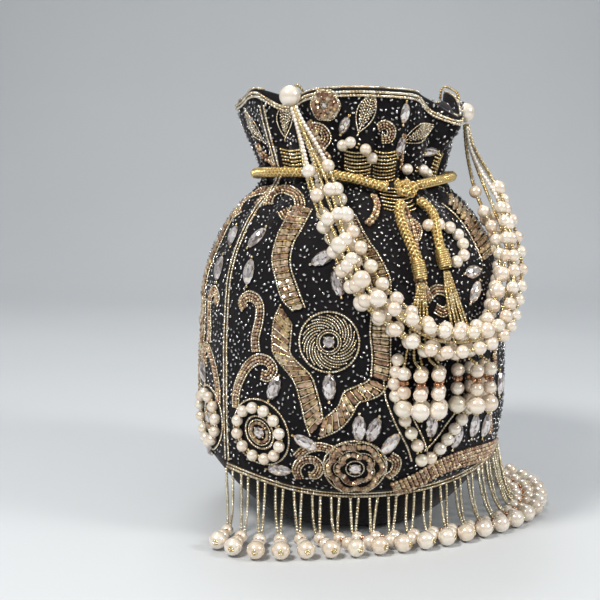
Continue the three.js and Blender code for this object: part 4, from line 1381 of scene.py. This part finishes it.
def leaf(sewn, centre, angle, length, width):
    """Leaf: an outline, a vein and slanted fill lines of fine seeds."""
    a = angle * D2R

    def at(u, v):
        x = u * math.cos(a) + v * math.sin(a)
        y = -u * math.sin(a) + v * math.cos(a)
        return from_centre(centre, x, y)

    t = np.linspace(-1, 1, 11)
    edge = width * np.cos(t * math.pi / 2) ** 0.8
    edge[[0, -1]] = 0.3
    for way in (1, -1):
        outline_line(sewn, at(way * edge, t * length), size=(1.4, 0.55, 0.55))
    outline_line(sewn, at(np.zeros(2), np.array([-length * 1.25, length * 0.9])), size=FINE_SIZE)
    for v in np.arange(-length * 0.85, length * 0.8, 1.6):
        reach = width * math.cos(v / length * math.pi / 2) ** 0.8 - 1.0
        if reach > 1.2:
            for way in (1, -1):
                fill = at(np.array([0.7 * way, way * reach]), np.array([v, v + reach * 0.75]))
                outline_line(sewn, fill, size=FINE_SIZE)


def pearl_row(sewn, chart, radius, outlines):
    """Pearls at chart points, gold seeds between neighbours, and outlines on both sides."""
    chart = np.asarray(chart, float)
    p, normal = settle_chart(chart)
    sewn["pearl"].add(PEARL, p + normal * radius * 0.82, UP_Z, normal, (radius,) * 3, keep=radius + 0.8)
    q, normal2 = settle_chart((chart[1:] + chart[:-1]) / 2)
    toward = unit(p[1:] - p[:-1])
    gap = np.linalg.norm(p[1:] - p[:-1], axis=1) < 4 * radius
    if gap.any():
        side = np.cross(normal2, toward)
        for push in (-1.1, 1.1):
            seeds_at = (q + side * push + normal2 * 2.1)[gap]
            sewn["gold"].add(TINY_BALL, seeds_at, toward[gap], normal2[gap], (0.85,) * 3)
    if outlines:
        line = lay(chart)
        for way in (1, -1):
            sew(sewn["line"], line, SEED_PITCH, SEED_SIZE, offset=way * outlines)


# The embroidery's chart
# Outlines and centres were read off the photograph as pixels and are turned into places on the bag


def px(*pairs):
    return spots(np.array(pairs, float))


LEFT_BANDS = [
    (px((292, 206), (285.5, 221), (278, 237), (273, 258), (276.5, 279), (283, 299), (294, 311)),
     px((313, 209), (304.6, 225), (294, 244), (291, 265), (297, 285), (306, 308))),
    (px((281.6, 304), (275, 320), (273, 341), (275, 355), (289, 373), (296, 384), (301, 401), (306, 422),
        (311, 436)),
     px((292.5, 323.5), (291, 341), (291, 353), (297, 361), (311, 375), (316, 387), (321, 406), (323, 419))),
]
CENTRE_BANDS = [
    (px((318, 438), (338, 429.5), (350.5, 417), (358, 403), (366, 400), (379, 395), (387.5, 385)),
     px((324, 419), (338, 406.5), (344, 392.5), (354, 387), (364, 383), (370, 378.5))),
    (px((388, 383), (390, 370), (390, 350), (390, 320), (389, 302)),
     px((371, 377), (372, 355), (370, 334), (371, 318), (373, 304))),
    (px((355, 215), (367, 239), (378, 255), (389, 277), (390, 296)),
     px((339, 221), (350, 245), (361, 262), (370, 281), (374, 300))),
]
RIGHT_BANDS = [
    (px((445, 193), (458, 203), (472, 217), (484, 236), (492, 254)),
     px((441, 204), (452, 213), (463, 226), (473, 243), (481, 262))),
]
LEFT_SCROLLS = [
    (px((268, 206), (272, 196), (282, 190), (294, 193), (300, 203), (297, 213), (288, 217), (283, 211)), 5.2),
    (px((246, 309), (243, 302), (249, 296), (257, 299), (261, 308), (260, 322), (256, 338), (257, 352)), 5.2),
    (px((262, 374), (269, 376), (274, 369), (269, 361), (259, 359), (249, 366), (241, 380), (237, 394),
        (237, 408)), 5.2),
]
CENTRE_SCROLLS = [
    (px((309, 474), (316, 474), (320, 466), (314, 459), (303, 460), (297, 468), (300, 478)), 4.6),
    (px((297, 457), (306, 449), (319, 446), (332, 449), (340, 455)), 4.6),
    (px((386, 476), (394, 470), (396, 460), (389, 455)), 4.6),
]
LEFT_CRYSTALS = [((258, 238), 30), ((250, 272), 0), ((274.6, 388), 25), ((280, 469), 88), ((306, 442), -62)]
CENTRE_CRYSTALS = [
    ((324, 258), 60), ((338, 283), -15), ((329.5, 387), 0), ((359, 428), 0), ((373.5, 429.5), 20),
    ((390, 443.5), 35), ((431, 425), 0), ((456, 436), 10),
]
RIGHT_CRYSTALS = [((472, 272), 85), ((474, 292), 40), ((473, 425), 0), ((484, 425), 0), ((498, 383), 0)]
RIM_CRYSTALS = [((345, 125), 35), ((404, 113), 0), ((399, 146), 0), ((427.5, 151.6), 85)]
MEDALLION = px((329, 342))[0]
FLOWER = px((260, 432))[0]
ROSE = px((355, 468))[0]
PEARL_OGEE = [
    px((396, 359), (394, 371), (392.5, 383), (394, 395), (398, 407), (403, 419), (409, 431), (415, 443),
       (419, 457)),
    px((428, 455), (437, 446), (444, 437), (451, 427), (458, 418), (464, 407), (468, 395), (469, 383)),
]
PEARL_ARC = px((426.5, 228), (436, 227), (446, 230), (454, 237), (459, 246), (460, 257), (453, 263))
NECK_PEARLS = [
    px((341, 144), (352, 141), (364, 148), (369, 157)),
    px((407, 168), (419, 169), (425, 173)),
]
NECK_SCROLLS = [
    (px((306, 136), (314, 127), (323, 129), (327, 138), (322, 146)), 4.6),
    (px((377, 128), (384, 124), (391, 129), (389, 138), (381, 139)), 4.2),
]
NECK_ROSE = px((325, 105))[0]
RIM_LEAVES = [((366, 112), 20), ((420, 133), 65), ((252, 125), -35), ((286, 118), 15)]
# Patches of level gold rows on the gathers: low corner and high corner
RIB_PATCHES = [
    px((345, 182), (371, 151)), px((372, 182), (397, 150)), px((429, 180), (442, 155)),
    px((286, 176), (306, 150)), px((384, 212), (403, 188)),
]
# Lines filled with round tan beads: at the bottom right and up the right flank
TAN_HEAPS = [
    (px((392, 488), (415, 479), (440, 465), (468, 455), (498, 446)), 5),
    (px((488, 432), (487, 415), (489, 400), (493, 386)), 2),
    (px((496, 330), (492, 350), (493, 368)), 2),
    (px((310, 120), (316, 134), (321, 148), (328, 160)), 3),
    (px((259, 143), (267, 156), (277, 168)), 2),
    (px((402, 133), (400, 152), (398, 170)), 1),
    (px((399, 206), (406, 224), (411, 245), (416, 270), (423, 300)), 3),
    (px((372, 196), (376, 206), (373, 218), (366, 226)), 2),
    (px((487, 300), (492, 318)), 2),
]
RIGHT_SCROLLS = [
    (px((402, 226), (410, 222), (417, 228), (415, 238), (407, 240)), 4.6),
    (px((425, 300), (434, 290), (446, 292), (450, 303), (443, 312), (434, 308)), 4.8),
]


def same(chart):
    return chart


def mirrored(chart):
    """Copy of the left half for the right half of a panel, a little narrower than a plain mirror image."""
    out = np.array(chart, float)
    out[..., 0] = 14.3 - 0.841 * out[..., 0]
    return out


def behind(chart):
    out = np.array(chart, float)
    out[..., 0] = out[..., 0] + 180.0
    return out


def both(first, second):
    return lambda chart: second(first(chart))


def tan_heap(sewn, chart, rows):
    """Rows of round tan and gold beads of uneven size, laid close together."""
    line = lay(chart)
    for row in range(rows):
        offset = (row - (rows - 1) / 2) * 2.5
        for kind, pitch, radius in (("round", 2.5, 1.25), ("gold", 4.6, 0.95)):
            side = 0.9 * (rng.random() - 0.5)
            sew(sewn[kind], line, pitch, (radius,) * 3, shape=TINY_BALL, offset=offset + side, keep=1.8,
                lift=radius * 1.1)


def draw_half(sewn, move, flip):
    """The motifs of the left half, moved by a chart map."""
    for left, right in LEFT_BANDS:
        tan_band(sewn, move(left), move(right))
    for chart, width in LEFT_SCROLLS:
        scroll_line(sewn, move(chart), width)
    for pixel, angle in LEFT_CRYSTALS:
        crystal(sewn, move(px(pixel)[0]), angle * flip)
    medallion(sewn, move(MEDALLION), flip)
    pearl_flower(sewn, move(FLOWER))


def draw_panel(sewn, move):
    draw_half(sewn, move, 1)
    draw_half(sewn, both(mirrored, move), -1)
    for left, right in CENTRE_BANDS + RIGHT_BANDS:
        tan_band(sewn, move(left), move(right))
    for chart, width in CENTRE_SCROLLS:
        scroll_line(sewn, move(chart), width)
    for pixel, angle in CENTRE_CRYSTALS + RIGHT_CRYSTALS:
        crystal(sewn, move(px(pixel)[0]), angle)
    for pixel, angle in RIM_CRYSTALS:
        crystal(sewn, move(px(pixel)[0]), angle, 6.0, 3.0)
    rose(sewn, move(ROSE), 1)
    for chart in PEARL_OGEE:
        pearl_row(sewn, move(chart), 3.6, 5.0)
    pearl_row(sewn, move(PEARL_ARC), 3.5, 0)
    for chart in NECK_PEARLS:
        pearl_row(sewn, move(chart), 3.3, 0)
    for chart, width in NECK_SCROLLS + RIGHT_SCROLLS:
        scroll_line(sewn, move(chart), width, bead=2.4)
    rose(sewn, move(NECK_ROSE), -1, 0.44)
    for chart, rows in TAN_HEAPS:
        tan_heap(sewn, move(chart), rows)
    for pixel, angle in RIM_LEAVES:
        leaf(sewn, move(px(pixel)[0]), angle, 11.0, 5.0)


def neck_ribs(sewn, move):
    """Level rows of gold seeds on some of the gathers between the rim and the cord."""
    for patch in RIB_PATCHES:
        low, high = move(patch[0]), move(patch[1])
        left, right = min(low[0], high[0]), max(low[0], high[0])
        for z in np.arange(low[1], high[1], 2.05):
            az = np.linspace(left, right, 6)
            sag = 1.6 * ((az - (left + right) / 2) / (right - left) * 2) ** 2
            sew(sewn["gold"], surface(az, z + sag), 1.55, (1.6, 0.78, 0.78), keep=2.0)


CHIP_SPACING = 2.25
CHIP_CELL = 2.4
CHIP_TRIES = 12000


def scatter(sewn, low, high):
    """Silver chips in every direction on the bare velvet."""
    taken = [np.concatenate(group.spots) for group in sewn.values() if group.spots]
    taken = np.concatenate(taken)
    tree = KDTree(len(taken))
    for i, spot in enumerate(taken):
        tree.insert(spot[:3], i)
    tree.balance()
    grid = {}
    kept, normals = [], []
    az = low + (high - low) * rng.random(CHIP_TRIES)
    z = 30 + 222 * rng.random(CHIP_TRIES) ** 0.95
    end = seam(az)[1]
    points = surface(az, z)
    normal = surface_normal(az, z)
    for i in range(CHIP_TRIES):
        if z[i] < end[i] + 3:
            continue
        p = points[i]
        if any(distance < taken[j, 3] + 0.9 for _, j, distance in tree.find_range(Vector(p), 7.0)):
            continue
        cell = tuple(np.floor(p / CHIP_CELL).astype(int))
        near = False
        for dx in (-1, 0, 1):
            for dy in (-1, 0, 1):
                for dz in (-1, 0, 1):
                    for q in grid.get((cell[0] + dx, cell[1] + dy, cell[2] + dz), ()):
                        near = near or np.sum((q - p) ** 2) < CHIP_SPACING**2
        if near:
            continue
        grid.setdefault(cell, []).append(p)
        kept.append(p)
        normals.append(normal[i])
    kept, normals = np.array(kept), np.array(normals)
    spin = rng.random((len(kept), 1)) * 2 * math.pi
    up = unit(UP_Z - normals * (normals @ UP_Z)[:, None])
    side = np.cross(normals, up)
    along = up * np.cos(spin) + side * np.sin(spin)
    size = np.array([[1.9, 0.68, 0.68]]) * (0.65 + 0.5 * rng.random((len(kept), 1)))
    sewn["chip"].add(EDGE_SEED, kept + normals * 0.5, along, normals, size)


draw_panel(SEWN["front"], same)
draw_panel(SEWN["back"], behind)
neck_ribs(SEWN["front"], same)
neck_ribs(SEWN["back"], behind)
for key, low, high in (("front", -88.5, 88.5), ("back", 91.5, 268.5)):
    scatter(SEWN[key], low, high)

LOOKS = {
    "line": CHAMPAGNE, "chip": SILVER, "tan": TAN, "round": BRONZE, "stone": CRYSTAL, "pearl": PEARL_LOOK,
    "gold": GOLD_SEED,
}
SEWN_PIECES = {"front": [], "back": []}
for key, sewn in SEWN.items():
    for kind, material in LOOKS.items():
        if sewn[kind].count:
            piece = sewn[kind].build("%s_embroidery_%s" % (key, kind), material, kind not in ("stone", "tan"))
            SEWN_PIECES[key].append(bag_piece(piece))

# Edgings
rim = Beads()
az = -90 + np.arange(0, 360, 1.0)
# Azimuths where the velvet stands up over its edging
HUMPS = px((282, 92), (431, 104))[:, 0]
sunk = np.exp(-((az[:, None] - HUMPS) / 8.0) ** 2).sum(1)
RIM_BEAD = 0.95
for below in (1.4, 3.3):
    height = RIM_HEIGHT - below - 4.0 * sunk
    push, drop = ruffle(az, height)
    line = place(az, outline_radius(height) + pleat(az, height) + push + RIM_BEAD * 0.85, height - drop)
    points, tangent, _ = resample(line, 1.85, closed=True)
    outward = unit(points * np.array([1, 1, 0]))
    rim.add(SEED, points, tangent, outward, (1.8, RIM_BEAD, RIM_BEAD))
line = (SHELL_OUT[0] + SHELL_IN[0]) / 2 + np.array([0, 0, 1.3])
points, tangent, shares = resample(line, 1.75, closed=True, other=sunk[:, None])
bare = shares[:, 0] < 0.3
rim.add(SEED, points[bare], tangent[bare], UP_Z, (1.7, 0.8, 0.8))
rim_piece = bag_piece(rim.build("rim_edging", CHAMPAGNE), nodes=["rim_trim"])

for name, azimuth in (("left", -90.0), ("right", 90.0)):
    trim = Beads()
    corner = float(seam(azimuth)[1])
    z = np.linspace(249.5, corner + 2.5, 90)
    middle = surface(np.full_like(z, azimuth), z)
    for offset in (-1.5, 1.5):
        line = shifted(middle, offset)
        points, tangent, _ = resample(line, 1.7)
        points, normal = settle(points)
        trim.add(SEED, points + normal * 0.6, tangent, normal, (1.65, 0.85, 0.85))
    piece = trim.build("side_edging_" + name, CHAMPAGNE)
    bag_piece(piece, nodes=["side_trim_" + name])

hem = Beads()
az = np.linspace(-90, 90, 181)
end_radius, end_height = seam(az)
for push, lift in ((0.9, 0.8), (1.2, -1.0)):
    points, tangent, _ = resample(place(az, end_radius + push, end_height + lift), 1.7)
    outward = unit(points * np.array([1, 1, 0]))
    hem.add(SEED, points, tangent, outward, (1.65, 0.85, 0.85))
hem_piece = bag_piece(hem.build("hem_edging", CHAMPAGNE), nodes=["bottom_trim"])

# Fringe
PENDANTS = 26
FRINGE_GUIDE = np.array([
    [-88, -80, 116], [-80, -72, 118], [-72, -64, 114], [-64, -57, 107], [-54, -48, 101], [-44, -38, 97],
    [-34, -27, 93.5], [-24, -17, 93], [-13, -5, 94], [-2, 8, 97], [8, 20, 103], [18, 31, 110], [30, 43, 117],
    [44, 56, 123], [58, 68, 127], [72, 80, 127], [82, 90, 125], [88, 98, 121],
], float)
BIG_PEARL = 5.1
SMALL_PEARL = 3.8
FLOOR_GAP = 0.5
DROP_LENGTH = 4 * SMALL_PEARL + 3 + 2 * BIG_PEARL


def evenly(points):
    """A place for each pendant along a line through points, with tangents."""
    dense = spline(points, per=40)
    dist = distances(dense)
    at = np.linspace(0, dist[-1], PENDANTS)
    tangent = unit(points_at(dense, dist, at + 0.5) - points_at(dense, dist, at - 0.5))
    return points_at(dense, dist, at), tangent


seam_radius, seam_height = seam(FRINGE_GUIDE[:, 0])
tops, along_seam = evenly(place(FRINGE_GUIDE[:, 0], seam_radius + 1.9, seam_height - 1.5))
ends, _ = evenly(place(FRINGE_GUIDE[:, 1], FRINGE_GUIDE[:, 2], BIG_PEARL + FLOOR_GAP))
fringe = {kind: Beads() for kind in ("pearl", "copper", "gold", "strand")}
for i in range(PENDANTS):
    away = unit((ends[i] - tops[i]) * np.array([1, 1, 0]))
    dip = unit(away + np.array([0, 0, 0.035]))
    start = ends[i] - dip * (DROP_LENGTH - BIG_PEARL)
    start[2] = SMALL_PEARL + FLOOR_GAP + 0.2
    direction = unit(ends[i] - start)
    for side in (-1, 1):
        top = tops[i] + along_seam[i] * side * 2.3
        finish = start + direction + along_seam[i] * side * 0.66
        bend = np.append((top + (finish - top) * 0.35)[:2], top[2] + (finish[2] - top[2]) * 0.75)
        t = np.linspace(0, 1, 40)[:, None]
        wander = np.sin(t * math.pi) * (rng.random(3) - 0.5) * np.array([1.6, 1.6, 0.8])
        line = (1 - t) ** 2 * top + 2 * t * (1 - t) * bend + t**2 * finish + wander
        string_beads(fringe, line, lambda at: ("strand", STRAND_SEED, 1.75, 0.98))
    pearl_cluster(fringe, start, direction, SMALL_PEARL, BIG_PEARL)
FRINGE_LOOKS = {"pearl": PEARL_LOOK, "copper": COPPER, "gold": GOLD_SEED, "strand": FRINGE_SEED}
for kind, material in FRINGE_LOOKS.items():
    bag_piece(fringe[kind].build("fringe_" + kind, material))
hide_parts(*["fringe_pendant_%02d" % (i + 1) for i in range(PENDANTS)])

# Floor, light and world
FLOOR_REACH = 3000.0
CURVE_START = 1100.0
CURVE_RADIUS = 700.0
CURVE_STEPS = 12


def floor_piece():
    """Floor that curves up into a backdrop behind the bag, as seen from the camera."""
    a = CAMERA_AZIMUTH * D2R
    away = np.array([-math.sin(a), math.cos(a), 0.0])
    right = np.array([math.cos(a), math.sin(a), 0.0])
    profile = [(-FLOOR_REACH, 0.0), (-1000.0, 0.0), (-300.0, 0.0), (300.0, 0.0), (CURVE_START, 0.0)]
    for k in range(1, CURVE_STEPS + 1):
        turn = math.pi / 2 * k / CURVE_STEPS
        along, up = CURVE_RADIUS * math.sin(turn), CURVE_RADIUS - CURVE_RADIUS * math.cos(turn)
        profile.append((CURVE_START + along, up))
    profile.append((CURVE_START + CURVE_RADIUS, FLOOR_REACH))
    verts, quads = [], []
    for d, z in profile:
        for x in (-FLOOR_REACH, FLOOR_REACH):
            verts.append(away * d + right * x + np.array([0, 0, z]))
    for k in range(len(profile) - 1):
        quads.append([2 * k, 2 * k + 1, 2 * k + 3, 2 * k + 2])
    material, tree, bsdf = new_material("floor")
    cloud = noise(tree, 0.9, 4.0)
    base = ramp(tree, cloud, [(0.25, (0.52, 0.55, 0.58)), (0.75, (0.60, 0.625, 0.65))])
    tree.links.new(base, bsdf.inputs["Base Color"])
    set_sockets(bsdf, Roughness=0.55, Specular_IOR_Level=0.3)
    return new_object("floor", np.array(verts), [np.array(quads)], material)


floor_piece()


def area_light(name, azimuth, elevation, distance, size, power, colour=(1, 1, 1)):
    data = bpy.data.lights.new(name, "AREA")
    data.shape = "DISK"
    data.size = size
    data.energy = power
    data.color = colour
    lamp = bpy.data.objects.new(name, data)
    bpy.context.scene.collection.objects.link(lamp)
    a, e = azimuth * D2R, elevation * D2R
    target = Vector((0, 0, 0.12))
    away = Vector((math.sin(a) * math.cos(e), -math.cos(a) * math.cos(e), math.sin(e)))
    lamp.location = target + distance * away
    lamp.rotation_euler = (target - lamp.location).to_track_quat("-Z", "Y").to_euler()


area_light("key", -75, 48, 1.5, 0.3, 19, (1.0, 0.96, 0.90))
area_light("fill", 25, 32, 1.6, 0.35, 11, (1.0, 0.97, 0.92))
area_light("top", 150, 65, 1.5, 0.6, 6)

world = bpy.data.worlds.new("studio")
bpy.context.scene.world = world
world.use_nodes = True
tree = world.node_tree
background = tree.nodes["Background"]
coords = tree.nodes.new("ShaderNodeTexCoord")
split = tree.nodes.new("ShaderNodeSeparateXYZ")
tree.links.new(coords.outputs["Generated"], split.inputs[0])
grey = ramp(tree, split.outputs["Z"], [
    (0.0, (0.28, 0.28, 0.29)), (0.35, (0.36, 0.37, 0.38)), (1.0, (0.7, 0.71, 0.72)),
])
tree.links.new(grey, background.inputs["Color"])
background.inputs["Strength"].default_value = 0.9

bpy.context.scene.view_settings.view_transform = "Standard"
